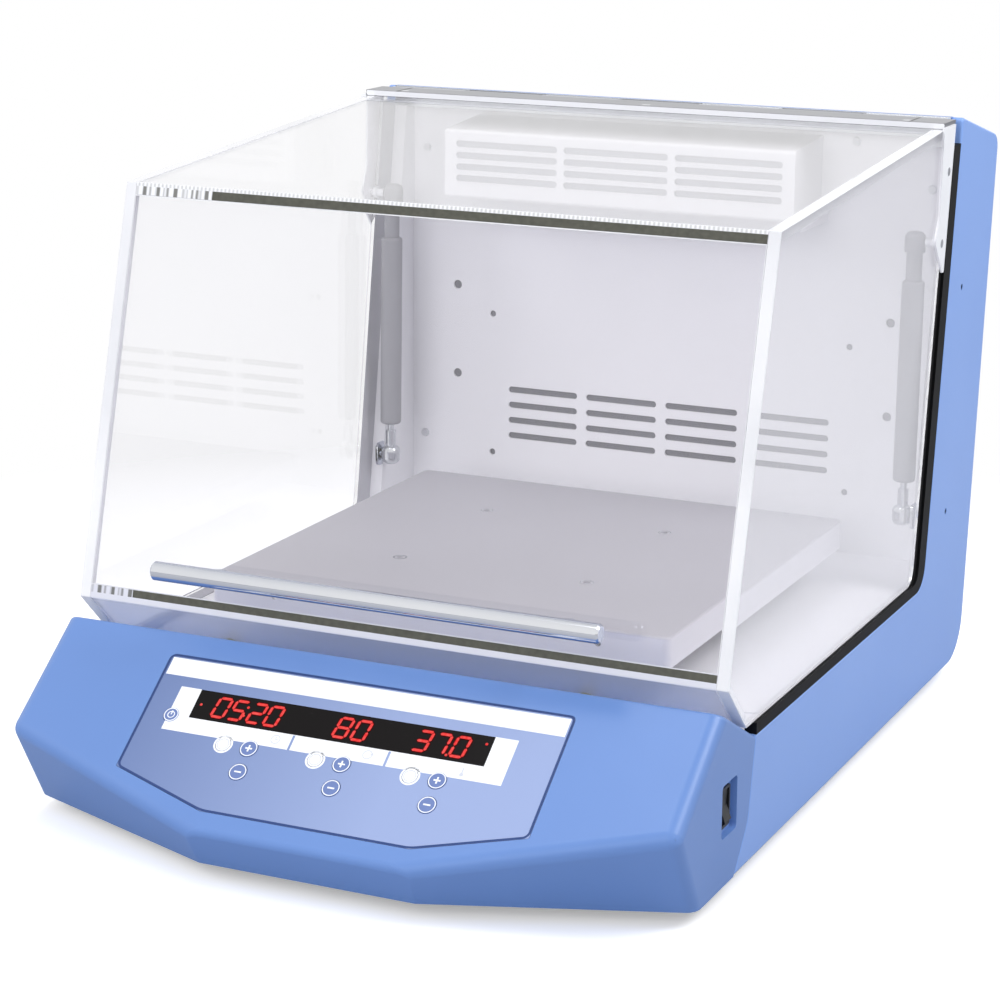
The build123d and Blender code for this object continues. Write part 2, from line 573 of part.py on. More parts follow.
# ================================================================ drive
JOURNAL = 8.0              # radius of the drive shaft
CRANK_Z = LEDGE_Z + 4.0    # underside of the cranks
CRANK_SHEET = 6.0
ECCENTRIC = 6.0            # radius of the eccentric pin
PIN_TOP_Z = 116.0
HOUSING_RADIUS = 24.0
BEARING_RADIUS = 17.5
MOTOR_RADIUS = 62.0
MOTOR_BOTTOM_Z = BASE_Z + BASE_SHEET
MOTOR_TOP_Z = 56.0
CARRIER_Z = 106.0
CARRIER_SHEET = 5.0
FLOOR_SHEET = 1.2
GUIDE_RADIUS = 5.0         # radius of the guide crank pins
GUIDE_BUSH = 9.0
GUIDE_PLACES = [(GUIDE_CIRCLE * cos(radians(a)), DRIVE_Y + GUIDE_CIRCLE * sin(radians(a)))
                for a in (135, -45)]
GUIDE_BOTTOM_Z = 66.0
SHAFT_HOLE = 30.0          # passage for the drive shaft through floor and ledge plate

with BuildPart() as ledge_plate:
    with BuildSketch(Plane.XY.offset(LEDGE_Z - LEDGE_SHEET)):
        outline([(-COVER_HALF, LEDGE_FRONT), (COVER_HALF, LEDGE_FRONT),
                 (COVER_HALF, PAN_REAR), (-COVER_HALF, PAN_REAR)])
        with Locations((0, DRIVE_Y)):
            Circle(HOUSING_RADIUS, mode=Mode.SUBTRACT)
        with Locations(*GUIDE_PLACES):
            Circle(GUIDE_RADIUS + BORE_GAP, mode=Mode.SUBTRACT)
    extrude(amount=LEDGE_SHEET)
    with BuildSketch(Plane.XY.offset(LEDGE_Z - LEDGE_SHEET)):
        with Locations(*GUIDE_PLACES):
            Circle(GUIDE_BUSH)
            Circle(GUIDE_RADIUS + BORE_GAP, mode=Mode.SUBTRACT)
    extrude(amount=-(LEDGE_Z - LEDGE_SHEET - GUIDE_BOTTOM_Z))
ledge_plate.part.label = "ledge_plate"
export_step(ledge_plate.part, "parts/ledge_plate.step")

with BuildPart() as bearing_housing:
    with BuildSketch(Plane.XY.offset(MOTOR_TOP_Z)):
        with Locations((0, DRIVE_Y)):
            Circle(HOUSING_RADIUS)
            Circle(BEARING_RADIUS, mode=Mode.SUBTRACT)
    extrude(amount=LEDGE_Z - MOTOR_TOP_Z)
    with BuildSketch(Plane.XY.offset(LEDGE_Z - LEDGE_SHEET)):
        with Locations((0, DRIVE_Y)):
            Circle(HOUSING_RADIUS + 14)
            Circle(HOUSING_RADIUS, mode=Mode.SUBTRACT)
    extrude(amount=-5.0)
    for z in (MOTOR_TOP_Z + 2, LEDGE_Z - 14):
        with BuildSketch(Plane.XY.offset(z)):
            with Locations((0, DRIVE_Y)):
                Circle(BEARING_RADIUS)
                Circle(JOURNAL + BORE_GAP, mode=Mode.SUBTRACT)
        extrude(amount=10.0)
bearing_housing.part.label = "bearing_housing"
export_step(bearing_housing.part, "parts/bearing_housing.step")

ROTOR_RADIUS = 34.0
ROTOR_Z = (MOTOR_BOTTOM_Z + 5, MOTOR_TOP_Z - 5)
with BuildPart() as motor:
    with BuildSketch(Plane.XY.offset(MOTOR_BOTTOM_Z)):
        with Locations((0, DRIVE_Y)):
            Circle(MOTOR_RADIUS)
    extrude(amount=MOTOR_TOP_Z - MOTOR_BOTTOM_Z)
    with BuildSketch(Plane.XY.offset(ROTOR_Z[0] - 1)):
        with Locations((0, DRIVE_Y)):
            Circle(ROTOR_RADIUS + 1)
    extrude(amount=ROTOR_Z[1] - ROTOR_Z[0] + 2, mode=Mode.SUBTRACT)
    with BuildSketch(Plane.XY.offset(MOTOR_TOP_Z)):
        with Locations((0, DRIVE_Y)):
            Circle(JOURNAL + BORE_GAP)
    extrude(amount=-10.0, mode=Mode.SUBTRACT)
motor.part.label = "motor"
export_step(motor.part, "parts/motor.step")

WEIGHT_RADIUS = 50.0
WEIGHT_HALF_ANGLE = 65.0
with BuildPart() as drive_shaft:
    with BuildSketch(Plane.XY.offset(ROTOR_Z[0])):
        with Locations((0, DRIVE_Y)):
            Circle(ROTOR_RADIUS)
    extrude(amount=ROTOR_Z[1] - ROTOR_Z[0])
    with BuildSketch(Plane.XY.offset(ROTOR_Z[1])):
        with Locations((0, DRIVE_Y)):
            Circle(JOURNAL)
    extrude(amount=CRANK_Z - ROTOR_Z[1])
    with BuildSketch(Plane.XY.offset(CRANK_Z)):
        with Locations((0, DRIVE_Y)):
            Circle(WEIGHT_RADIUS)
            Rectangle(3 * WEIGHT_RADIUS, 2 * WEIGHT_RADIUS, align=(Align.CENTER, Align.MIN),
                      mode=Mode.SUBTRACT)
            Circle(JOURNAL + ORBIT_RADIUS + 4)
    extrude(amount=CRANK_SHEET)
    with BuildSketch(Plane.XY.offset(CRANK_Z + CRANK_SHEET)):
        with Locations((0, PLATFORM_Y)):
            Circle(ECCENTRIC)
    extrude(amount=PIN_TOP_Z - CRANK_Z - CRANK_SHEET)
drive_shaft.part.label = "drive_shaft"
export_step(drive_shaft.part, "parts/drive_shaft.step")

for number, (gx, gy) in enumerate(GUIDE_PLACES, 1):
    with BuildPart() as guide_crank:
        with BuildSketch(Plane.XY.offset(GUIDE_BOTTOM_Z)):
            with Locations((gx, gy)):
                Circle(GUIDE_RADIUS)
        extrude(amount=CRANK_Z - GUIDE_BOTTOM_Z)
        with BuildSketch(Plane.XY.offset(CRANK_Z)):
            with Locations((gx, gy + ORBIT_RADIUS / 2)):
                SlotCenterToCenter(ORBIT_RADIUS, 4 * GUIDE_RADIUS, rotation=90)
        extrude(amount=CRANK_SHEET)
        with BuildSketch(Plane.XY.offset(CRANK_Z + CRANK_SHEET)):
            with Locations((gx, gy + ORBIT_RADIUS)):
                Circle(GUIDE_RADIUS)
        extrude(amount=PIN_TOP_Z - CRANK_Z - CRANK_SHEET)
    guide_crank.part.label = f"guide_crank_{number}"
    export_step(guide_crank.part, f"parts/guide_crank_{number}.step")

# ================================================================ platform
FIXINGS = [(sx * FIXING_PITCH / 2, PLATFORM_Y + sy * FIXING_PITCH / 2)
           for sx in (1, -1) for sy in (1, -1)]
INSERT_RADIUS = 5.0
INSERT_BORE = 2.5
INSERT_LENGTH = 14.0
TRAY_BOTTOM_Z = PLATFORM_TOP_Z - PLATFORM_FLANGE
FLANGE_HOLES_X = (-118.0, 118.0)
with BuildPart() as platform_tray:
    with BuildSketch(Plane.XY.offset(TRAY_BOTTOM_Z)):
        with Locations((0, PLATFORM_Y)):
            RectangleRounded(PLATFORM_WIDTH, PLATFORM_DEPTH, 5.0)
    extrude(amount=PLATFORM_FLANGE)
    fillet(platform_tray.faces().sort_by(Axis.Z)[-1].edges(), 1.6)
    with BuildSketch(Plane.XY.offset(TRAY_BOTTOM_Z)):
        with Locations((0, PLATFORM_Y)):
            RectangleRounded(PLATFORM_WIDTH - 2 * PLATFORM_SHEET, PLATFORM_DEPTH - 2 * PLATFORM_SHEET, 3.0)
    extrude(amount=PLATFORM_FLANGE - PLATFORM_SHEET, mode=Mode.SUBTRACT)
    with BuildSketch(Plane.XY.offset(PLATFORM_TOP_Z)):
        with Locations(*FIXINGS):
            Circle(INSERT_RADIUS)
    extrude(amount=-PLATFORM_FLANGE, mode=Mode.SUBTRACT)
    with BuildSketch(Plane.XZ.offset(-PLATFORM_Y)):
        with Locations(*[(x, TRAY_BOTTOM_Z + 11.0) for x in FLANGE_HOLES_X]):
            Circle(2.2)
    extrude(amount=PLATFORM_DEPTH, both=True, mode=Mode.SUBTRACT)
platform_tray.part.label = "platform_tray"
export_step(platform_tray.part, "parts/platform_tray.step")

with BuildPart() as platform_inserts:
    with BuildSketch(Plane.XY.offset(PLATFORM_TOP_Z - INSERT_LENGTH)):
        with Locations(*FIXINGS):
            Circle(INSERT_RADIUS)
    extrude(amount=INSERT_LENGTH)
    with BuildSketch(Plane.XY.offset(PLATFORM_TOP_Z)):
        with Locations(*FIXINGS):
            Circle(INSERT_BORE)
    extrude(amount=-(INSERT_LENGTH - 2), mode=Mode.SUBTRACT)
platform_inserts.part.label = "platform_inserts"
export_step(platform_inserts.part, "parts/platform_inserts.step")

GUIDE_PINS = [(gx, gy + ORBIT_RADIUS) for gx, gy in GUIDE_PLACES]
CARRIER_SIDE = 2 * (GUIDE_CIRCLE * cos(radians(45)) + 22.0)
with BuildPart() as platform_carrier:
    with BuildSketch(Plane.XY.offset(CARRIER_Z)):
        with Locations((0, PLATFORM_Y)):
            RectangleRounded(CARRIER_SIDE, CARRIER_SIDE, 20.0)
    extrude(amount=CARRIER_SHEET)
    with BuildSketch(Plane.XY.offset(CARRIER_Z + CARRIER_SHEET)):
        with Locations(*FIXINGS):
            Circle(INSERT_RADIUS + 3)
    extrude(amount=PLATFORM_TOP_Z - PLATFORM_SHEET - CARRIER_Z - CARRIER_SHEET)
    with BuildSketch(Plane.XY.offset(CARRIER_Z - 2)):
        with Locations(*GUIDE_PINS):
            Circle(GUIDE_BUSH)
        with Locations((0, PLATFORM_Y)):
            Circle(20.0)
    extrude(amount=PIN_TOP_Z + 2 - CARRIER_Z)
    with BuildSketch(Plane.XY.offset(PLATFORM_TOP_Z - PLATFORM_SHEET)):
        with Locations(*FIXINGS):
            Circle(INSERT_RADIUS)
    extrude(amount=-(INSERT_LENGTH - PLATFORM_SHEET), mode=Mode.SUBTRACT)
    with BuildSketch(Plane.XY.offset(CARRIER_Z - 2)):
        with Locations(*GUIDE_PINS):
            Circle(GUIDE_RADIUS + BORE_GAP)
        with Locations((0, PLATFORM_Y)):
            Circle(ECCENTRIC + BORE_GAP)
    extrude(amount=PLATFORM_FLANGE, mode=Mode.SUBTRACT)
platform_carrier.part.label = "platform_carrier"
export_step(platform_carrier.part, "parts/platform_carrier.step")

# ================================================================ chamber
WALL_FRONT_LINE = [(upright_front(LEDGE_Z), LEDGE_Z), (upright_front(CHAMBER_TOP_Z), CHAMBER_TOP_Z)]
FLANGE_REACH = HALF - RIM - CHAMBER_HALF
FLOOR_STEP_Y = upright_front(LEDGE_Z) - SHEET
with BuildPart() as chamber_floor:
    with BuildSketch(Plane.XY.offset(LEDGE_Z)):
        outline([
            (-FLOOR_HALF, FLOOR_FRONT_Y), (FLOOR_HALF, FLOOR_FRONT_Y), (FLOOR_HALF, FLOOR_STEP_Y),
            (CHAMBER_HALF, FLOOR_STEP_Y), (CHAMBER_HALF, BACK_WALL_Y),
            (-CHAMBER_HALF, BACK_WALL_Y), (-CHAMBER_HALF, FLOOR_STEP_Y), (-FLOOR_HALF, FLOOR_STEP_Y),
        ], {0: FLOOR_CORNER, 1: FLOOR_CORNER})
        with Locations((0, DRIVE_Y)):
            Circle(SHAFT_HOLE, mode=Mode.SUBTRACT)
        with Locations(*GUIDE_PLACES):
            Circle(GUIDE_RADIUS + 3, mode=Mode.SUBTRACT)
    extrude(amount=FLOOR_SHEET)
chamber_floor.part.label = "chamber_floor"
export_step(chamber_floor.part, "parts/chamber_floor.step")

for side, sign in (("right", 1), ("left", -1)):
    with BuildPart() as chamber_wall:
        with BuildSketch(Plane.YZ.offset(sign * CHAMBER_HALF)):
            outline([WALL_FRONT_LINE[0], (BACK_WALL_Y, LEDGE_Z), (BACK_WALL_Y, CHAMBER_TOP_Z),
                     WALL_FRONT_LINE[1]])
        extrude(amount=sign * SHEET)
        with BuildSketch(Plane.YZ.offset(sign * CHAMBER_HALF)):
            outline([WALL_FRONT_LINE[0], (WALL_FRONT_LINE[0][0] + SHEET, LEDGE_Z),
                     (WALL_FRONT_LINE[1][0] + SHEET, CHAMBER_TOP_Z), WALL_FRONT_LINE[1]])
        extrude(amount=sign * FLANGE_REACH)
    chamber_wall.part.label = f"chamber_wall_{side}"
    export_step(chamber_wall.part, f"parts/chamber_wall_{side}.step")

VENT_PITCH_X, VENT_PITCH_Z = 66.9, 12.4
VENT_LENGTH, VENT_HEIGHT = 59.1, 5.0
VENT_MIDDLE_Z = 173.5
WALL_HOLE, WALL_HOLE_X, WALL_HOLE_Z = 3.5, 175.0, (273.0, 201.4)
SMALL_HOLE, SMALL_HOLE_X, SMALL_HOLE_Z = 2.5, 144.0, (252.0, 139.6)
SHAFT_X, FAN_DROP = -62.0, 36.0          # axis of the fan, and its depth under the ceiling
FAN_Z = CHAMBER_TOP_Z - FAN_DROP
FAN_SHAFT, FAN_SHAFT_ROOM = 2.5, 1.5
WALL_TOP_Z = CHAMBER_TOP_Z + 4.0
with BuildPart() as back_wall:
    with BuildSketch(Plane.XZ.offset(-BACK_WALL_Y)):
        outline([(-CHAMBER_HALF - SHEET, LEDGE_Z), (CHAMBER_HALF + SHEET, LEDGE_Z),
                 (CHAMBER_HALF + SHEET, WALL_TOP_Z), (-CHAMBER_HALF - SHEET, WALL_TOP_Z)])
        with Locations((0, VENT_MIDDLE_Z)):
            with GridLocations(VENT_PITCH_X, VENT_PITCH_Z, 4, 4):
                SlotOverall(VENT_LENGTH, VENT_HEIGHT, mode=Mode.SUBTRACT)
        with Locations(*[(sx * WALL_HOLE_X, z) for sx in (1, -1) for z in WALL_HOLE_Z]):
            Circle(WALL_HOLE, mode=Mode.SUBTRACT)
        with Locations(*[(sx * SMALL_HOLE_X, z) for sx in (1, -1) for z in SMALL_HOLE_Z]):
            Circle(SMALL_HOLE, mode=Mode.SUBTRACT)
        with Locations((SHAFT_X, FAN_Z)):
            Circle(FAN_SHAFT + FAN_SHAFT_ROOM, mode=Mode.SUBTRACT)
    extrude(amount=-SHEET)
back_wall.part.label = "back_wall"
export_step(back_wall.part, "parts/back_wall.step")

# ---------------------------------------------------------------- air heater box with its fan
BOX_LEFT, BOX_RIGHT = -157.5, 124.0
BOX_DEPTH = 61.6
BOX_FRONT_Y = BACK_WALL_Y - BOX_DEPTH
BOX_TOP_DROP, BOX_HEIGHT, BOX_RISE = 10.0, 52.0, 5.0
BOX_TOP_Z = CHAMBER_TOP_Z - BOX_TOP_DROP
BOX_BOTTOM_Z = BOX_TOP_Z - BOX_HEIGHT
BOX_SLOT_PITCH_X, BOX_SLOT_PITCH_Z = 89.3, 8.7
with BuildPart() as heater_box:
    with BuildSketch(Plane.YZ.offset(BOX_LEFT)):
        outline([(BOX_FRONT_Y, BOX_BOTTOM_Z), (BACK_WALL_Y, BOX_BOTTOM_Z),
                 (BACK_WALL_Y, BOX_TOP_Z + BOX_RISE), (BOX_FRONT_Y, BOX_TOP_Z)], {0: 3.0, 3: 3.0})
    extrude(amount=BOX_RIGHT - BOX_LEFT)
    with BuildSketch(Plane.YZ.offset(BOX_LEFT + SHEET)):
        outline([(BOX_FRONT_Y + SHEET, BOX_BOTTOM_Z + SHEET), (BACK_WALL_Y, BOX_BOTTOM_Z + SHEET),
                 (BACK_WALL_Y, BOX_TOP_Z + BOX_RISE - SHEET), (BOX_FRONT_Y + SHEET, BOX_TOP_Z - SHEET)])
    extrude(amount=BOX_RIGHT - BOX_LEFT - 2 * SHEET, mode=Mode.SUBTRACT)
    with BuildSketch(Plane.XZ.offset(-BOX_FRONT_Y)):
        with Locations(((BOX_LEFT + BOX_RIGHT) / 2, BOX_TOP_Z - BOX_HEIGHT / 2 + 2.5)):
            with GridLocations(BOX_SLOT_PITCH_X, BOX_SLOT_PITCH_Z, 3, 4):
                SlotOverall(84.0, 5.0)
    extrude(amount=-2 * SHEET, mode=Mode.SUBTRACT)
heater_box.part.label = "heater_box"
export_step(heater_box.part, "parts/heater_box.step")

HEATER_X = 62.0
HEATER_Z = (FAN_Z - 10.0, FAN_Z + 12.0)
HEATER_DEPTH = 44.0
HEATER_FRONT_Y = BACK_WALL_Y - HEATER_DEPTH
HEATER_TUBE = 3.0
HEATER_REACH = 34.0
with BuildPart() as heater_element:
    for z in HEATER_Z:
        with BuildLine() as heater_path:
            FilletPolyline((HEATER_X - HEATER_REACH, BACK_WALL_Y, z),
                           (HEATER_X - HEATER_REACH, HEATER_FRONT_Y, z),
                           (HEATER_X + HEATER_REACH, HEATER_FRONT_Y, z),
                           (HEATER_X + HEATER_REACH, BACK_WALL_Y, z), radius=12.0)
        with BuildSketch(Plane(origin=(HEATER_X - HEATER_REACH, BACK_WALL_Y, z), z_dir=(0, -1, 0))):
            Circle(HEATER_TUBE)
        sweep(path=heater_path.line)
heater_element.part.label = "heater_element"
export_step(heater_element.part, "parts/heater_element.step")

FAN_RADIUS, FAN_HUB = 20.0, 10.0
FAN_FRONT_Y, FAN_REAR_Y = BACK_WALL_Y - 44.0, BACK_WALL_Y - 20.0
FAN_BLADES = 12
FAN_BODY_RADIUS, FAN_BODY_DEPTH = 20.0, 40.0
with BuildPart() as fan_rotor:
    with BuildSketch(Plane.XZ.offset(-FAN_REAR_Y)):
        with Locations((SHAFT_X, FAN_Z)):
            Circle(FAN_RADIUS)
    extrude(amount=2.0)
    with BuildSketch(Plane.XZ.offset(-FAN_REAR_Y)):
        with Locations((SHAFT_X, FAN_Z)):
            Circle(FAN_HUB)
    extrude(amount=8.0)
    with BuildSketch(Plane.XZ.offset(-FAN_REAR_Y)):
        with Locations((SHAFT_X, FAN_Z)):
            with PolarLocations(FAN_RADIUS - 3.0, FAN_BLADES):
                Rectangle(5.0, 1.2, rotation=35)
    extrude(amount=FAN_REAR_Y - FAN_FRONT_Y)
    with BuildSketch(Plane.XZ.offset(-FAN_REAR_Y)):
        with Locations((SHAFT_X, FAN_Z)):
            Circle(FAN_SHAFT)
    extrude(amount=-(BACK_WALL_Y + SHEET + 12 - FAN_REAR_Y))
fan_rotor.part.label = "fan_rotor"
export_step(fan_rotor.part, "parts/fan_rotor.step")

with BuildPart() as fan_motor:
    with BuildSketch(Plane.XZ.offset(-(BACK_WALL_Y + SHEET))):
        with Locations((SHAFT_X, FAN_Z)):
            Circle(FAN_BODY_RADIUS)
    extrude(amount=-FAN_BODY_DEPTH)
    with BuildSketch(Plane.XZ.offset(-(BACK_WALL_Y + SHEET))):
        with Locations((SHAFT_X, FAN_Z)):
            Circle(FAN_SHAFT + BORE_GAP)
    extrude(amount=-14.0, mode=Mode.SUBTRACT)
fan_motor.part.label = "fan_motor"
export_step(fan_motor.part, "parts/fan_motor.step")

SCREW_LENGTH = 9.0
SCREW_SINK = 0.6
WALL_SCREW, WALL_SCREW_LOW_Z = 3.5, 149.5
WALL_SCREW_HIGH_Z = FAN_Z + 2.6
WALL_SCREWS = [(sx * (CHAMBER_HALF - inset), z) for sx in (1, -1)
               for inset, z in ((11.5, WALL_SCREW_HIGH_Z), (10.5, WALL_SCREW_LOW_Z))]
WALL_SCREWS.append((BOX_RIGHT + 26.0, CHAMBER_TOP_Z - 8.0))
with BuildPart() as housing_screws:
    for sign in (1, -1):
        with BuildSketch(Plane.YZ.offset(sign * (HALF - SCREW_SINK))):
            with Locations(*PANEL_SCREWS):
                Circle(PANEL_SCREW_RADIUS)
                RegularPolygon(1.2, 6, mode=Mode.SUBTRACT)
        extrude(amount=-sign * SCREW_LENGTH)
    with BuildSketch(Plane.XZ.offset(-BACK_WALL_Y)):
        with Locations(*WALL_SCREWS):
            Circle(WALL_SCREW)
    extrude(amount=2.0, taper=20)
housing_screws.part.label = "housing_screws"
export_step(housing_screws.part, "parts/housing_screws.step")

# ================================================================ hinge rail and bar
PIN = 1.6
KNUCKLE = 4.0
KNUCKLES = 7
KNUCKLE_GAP = 0.3
RAIL_HALF = HALF - RIM - 0.5
KNUCKLE_LENGTH = 2 * RAIL_HALF / KNUCKLES
LEAF_Y = HINGE_Y + KNUCKLE + 0.4
LEAF = 3.0
BAR_DEPTH = 27.0           # the bar on the top panel, front to back
BAR_REAR_Y = HINGE_Y - KNUCKLE - 1
BAR_FRONT_Y = BAR_REAR_Y - BAR_DEPTH
BAR_TOP_Z = HEIGHT - 0.2
BAR_HALF = HOOD_HALF


def knuckle_spans(places):
    """Start and length of the hinge knuckles at some places along the bar."""
    return [(-RAIL_HALF + n * KNUCKLE_LENGTH + KNUCKLE_GAP, KNUCKLE_LENGTH - 2 * KNUCKLE_GAP)
            for n in places]


with BuildPart() as hinge_rail:
    with BuildSketch(Plane.YZ.offset(-RAIL_HALF)):
        outline([
            (LEAF_Y, CHAMBER_TOP_Z), (BACK_WALL_Y, CHAMBER_TOP_Z),
            (BACK_WALL_Y, CHAMBER_TOP_Z + SHEET), (LEAF_Y + LEAF, CHAMBER_TOP_Z + SHEET),
            (LEAF_Y + LEAF, BAR_TOP_Z), (LEAF_Y, BAR_TOP_Z),
        ])
    extrude(amount=2 * RAIL_HALF)
    for start, length in knuckle_spans(range(0, KNUCKLES, 2)):
        with BuildSketch(Plane.YZ.offset(start)):
            with Locations((HINGE_Y, HINGE_Z)):
                Circle(KNUCKLE)
                Rectangle(LEAF_Y + LEAF / 2 - HINGE_Y, 3.0, align=(Align.MIN, Align.CENTER))
        extrude(amount=length)
    with BuildSketch(Plane.YZ.offset(-RAIL_HALF)):
        with Locations((HINGE_Y, HINGE_Z)):
            Circle(PIN)
    extrude(amount=2 * RAIL_HALF)
hinge_rail.part.label = "hinge_rail"
export_step(hinge_rail.part, "parts/hinge_rail.step")

BAR_SCREWS = [(sx * (BAR_HALF - 29.9), BAR_FRONT_Y + 7.0) for sx in (-1, 0, 1)]
BAR_SCREW = 3.4
with BuildPart() as hinge_bar:
    with BuildSketch(Plane.YZ.offset(-BAR_HALF)):
        outline([
            (BAR_FRONT_Y, hood_top(BAR_FRONT_Y)), (BAR_REAR_Y, hood_top(BAR_REAR_Y)),
            (BAR_REAR_Y, BAR_TOP_Z), (BAR_FRONT_Y, BAR_TOP_Z),
        ])
    extrude(amount=2 * BAR_HALF)
    for start, length in knuckle_spans(range(1, KNUCKLES, 2)):
        with BuildSketch(Plane.YZ.offset(start)):
            with Locations((HINGE_Y, HINGE_Z)):
                Circle(KNUCKLE)
                Polygon((0, 2.0), (0, KNUCKLE), (-KNUCKLE - 2, KNUCKLE), (-KNUCKLE - 2, 2.0), align=None)
                Circle(PIN + BORE_GAP, mode=Mode.SUBTRACT)
        extrude(amount=length)
    with BuildSketch(Plane.XY.offset(BAR_TOP_Z)):
        with Locations(*BAR_SCREWS):
            Circle(BAR_SCREW)
    extrude(amount=-2.0, mode=Mode.SUBTRACT)
hinge_bar.part.label = "hinge_bar"
export_step(hinge_bar.part, "parts/hinge_bar.step")

# ================================================================ hood
HOOD_BOTTOM_Z = LEDGE_Z + GASKET_HEIGHT + SEAL_GAP
HOOD_LOW_Y = HOOD_KNEE_Y + (HOOD_KNEE_Z - HOOD_BOTTOM_Z) / tan(radians(HOOD_LOWER_ANGLE))
HOOD_BACK_Y = (hood_rear(HOOD_TOP_FRONT_Z) - HOOD_TOP_FRONT_Y * TAN_RISE * TAN_LEAN) / (1 - TAN_RISE * TAN_LEAN)
HOOD_LINE = [
    (HOOD_BACK_Y, hood_top(HOOD_BACK_Y)),
    (HOOD_TOP_FRONT_Y, HOOD_TOP_FRONT_Z),
    (HOOD_KNEE_Y, HOOD_KNEE_Z),
    (HOOD_LOW_Y, HOOD_BOTTOM_Z),
]
HOOD_INNER = moved(HOOD_LINE, -ACRYLIC)
HOOD_WIDTH_IN = 2 * (HOOD_HALF - ACRYLIC)


def meet(a, b, c, d):
    """Where the line through a and b meets the line through c and d."""
    run = (b[0] - a[0], b[1] - a[1])
    other = (d[0] - c[0], d[1] - c[1])
    across = run[0] * other[1] - run[1] * other[0]
    along = ((c[0] - a[0]) * other[1] - (c[1] - a[1]) * other[0]) / across
    return (a[0] + along * run[0], a[1] + along * run[1])


TOP_BUTT = meet(HOOD_INNER[0], HOOD_INNER[1], HOOD_LINE[1], HOOD_LINE[2])
LOW_BUTT = meet(HOOD_INNER[2], HOOD_INNER[3], HOOD_LINE[1], HOOD_LINE[2])
PANELS = {
    "hood_top": [HOOD_LINE[0], HOOD_LINE[1], TOP_BUTT, HOOD_INNER[0]],
    "hood_front": [TOP_BUTT, LOW_BUTT, HOOD_INNER[2], HOOD_INNER[1]],
    "hood_lower": [LOW_BUTT, HOOD_LINE[2], HOOD_LINE[3], (HOOD_INNER[3][0], HOOD_INNER[3][1])],
}
for name, shape in PANELS.items():
    with BuildPart() as hood_panel:
        with BuildSketch(Plane.YZ.offset(-HOOD_WIDTH_IN / 2)):
            outline(shape)
        extrude(amount=HOOD_WIDTH_IN)
    hood_panel.part.label = name
    export_step(hood_panel.part, f"parts/{name}.step")

HOOD_HEEL = (hood_rear(HOOD_BOTTOM_Z), HOOD_BOTTOM_Z)
STUD_DROP = 85.7                         # upper spring stud below the uprights
STUD_Z = HEIGHT - STUD_DROP
STUD_Y = hood_rear(STUD_Z) - 4.6
STUD_RADIUS = 3.0
for side, sign in (("right", 1), ("left", -1)):
    with BuildPart() as hood_side:
        with BuildSketch(Plane.YZ.offset(sign * (HOOD_HALF - ACRYLIC))):
            outline([*HOOD_LINE, HOOD_HEEL], {4: HOOD_CORNER_RADIUS})
            with Locations((STUD_Y, STUD_Z)):
                Circle(STUD_RADIUS, mode=Mode.SUBTRACT)
        extrude(amount=sign * ACRYLIC)
    hood_side.part.label = f"hood_{side}"
    export_step(hood_side.part, f"parts/hood_{side}.step")

# ---------------------------------------------------------------- seals
SEAL_OUTER = HOOD_HALF - 0.1
SEAL_WIDTH = SEAL_OUTER - (HALF - RIM)
SEAL_FRONT_Y = SEAM_TOP_Y + 2.0
LIP_DEPTH = 16.4           # outer lip of the seal, front to back
LIP_OUTER = HALF - 0.1


def seal_outline(depth, corner):
    """Side outline of a seal of some depth in front of the upright."""
    outline([
        (SEAL_FRONT_Y, LEDGE_Z), (upright_front(LEDGE_Z), LEDGE_Z),
        (upright_front(GASKET_TOP_Z), GASKET_TOP_Z),
        (upright_front(GASKET_TOP_Z) - depth, GASKET_TOP_Z),
        (upright_front(LEDGE_Z + GASKET_HEIGHT) - depth, LEDGE_Z + GASKET_HEIGHT),
        (SEAL_FRONT_Y, LEDGE_Z + GASKET_HEIGHT),
    ], {1: INSTEP_RADIUS, 4: corner})


with BuildPart() as hood_seals:
    for sign in (1, -1):
        with BuildSketch(Plane.YZ.offset(sign * (HALF - RIM))):
            seal_outline(GASKET_DEPTH, HOOD_CORNER_RADIUS)
        extrude(amount=sign * SEAL_WIDTH)
        with BuildSketch(Plane.YZ.offset(sign * SEAL_OUTER)):
            seal_outline(LIP_DEPTH, HOOD_CORNER_RADIUS - 4.0)
        extrude(amount=sign * (LIP_OUTER - SEAL_OUTER))
hood_seals.part.label = "hood_seals"
export_step(hood_seals.part, "parts/hood_seals.step")

# ---------------------------------------------------------------- brackets with their spring studs
BRACKET = 1.5
SOCKET_RADIUS = 7.5
SPRING_X = CHAMBER_HALF - SOCKET_RADIUS - FIT_GAP
STUD_END = SPRING_X + SOCKET_RADIUS + FIT_GAP
BRACKET_BEHIND = LIP_DEPTH + 2 * SEAL_GAP  # rear edge of a bracket in front of the upright
BRACKET_TOP_Z = hood_top(BAR_REAR_Y - 4.0)
BRACKET_LINE = [                           # in front of the upright, and height
    (45.5, BRACKET_TOP_Z), (39.1, STUD_Z + 19.7), (44.5, STUD_Z + 2.7), (21.4, STUD_Z - 21.8),
    (BRACKET_BEHIND, STUD_Z - 22.0), (BRACKET_BEHIND, BRACKET_TOP_Z),
]
BRACKET_OUTLINE = [(upright_front(z) - ahead, z) for ahead, z in BRACKET_LINE]
BRACKET_SCREW_Z = STUD_Z + 50.3
BRACKET_SCREWS = [(upright_front(BRACKET_SCREW_Z) - 25.9, BRACKET_SCREW_Z), (STUD_Y, STUD_Z)]
BRACKET_SCREW = 3.0
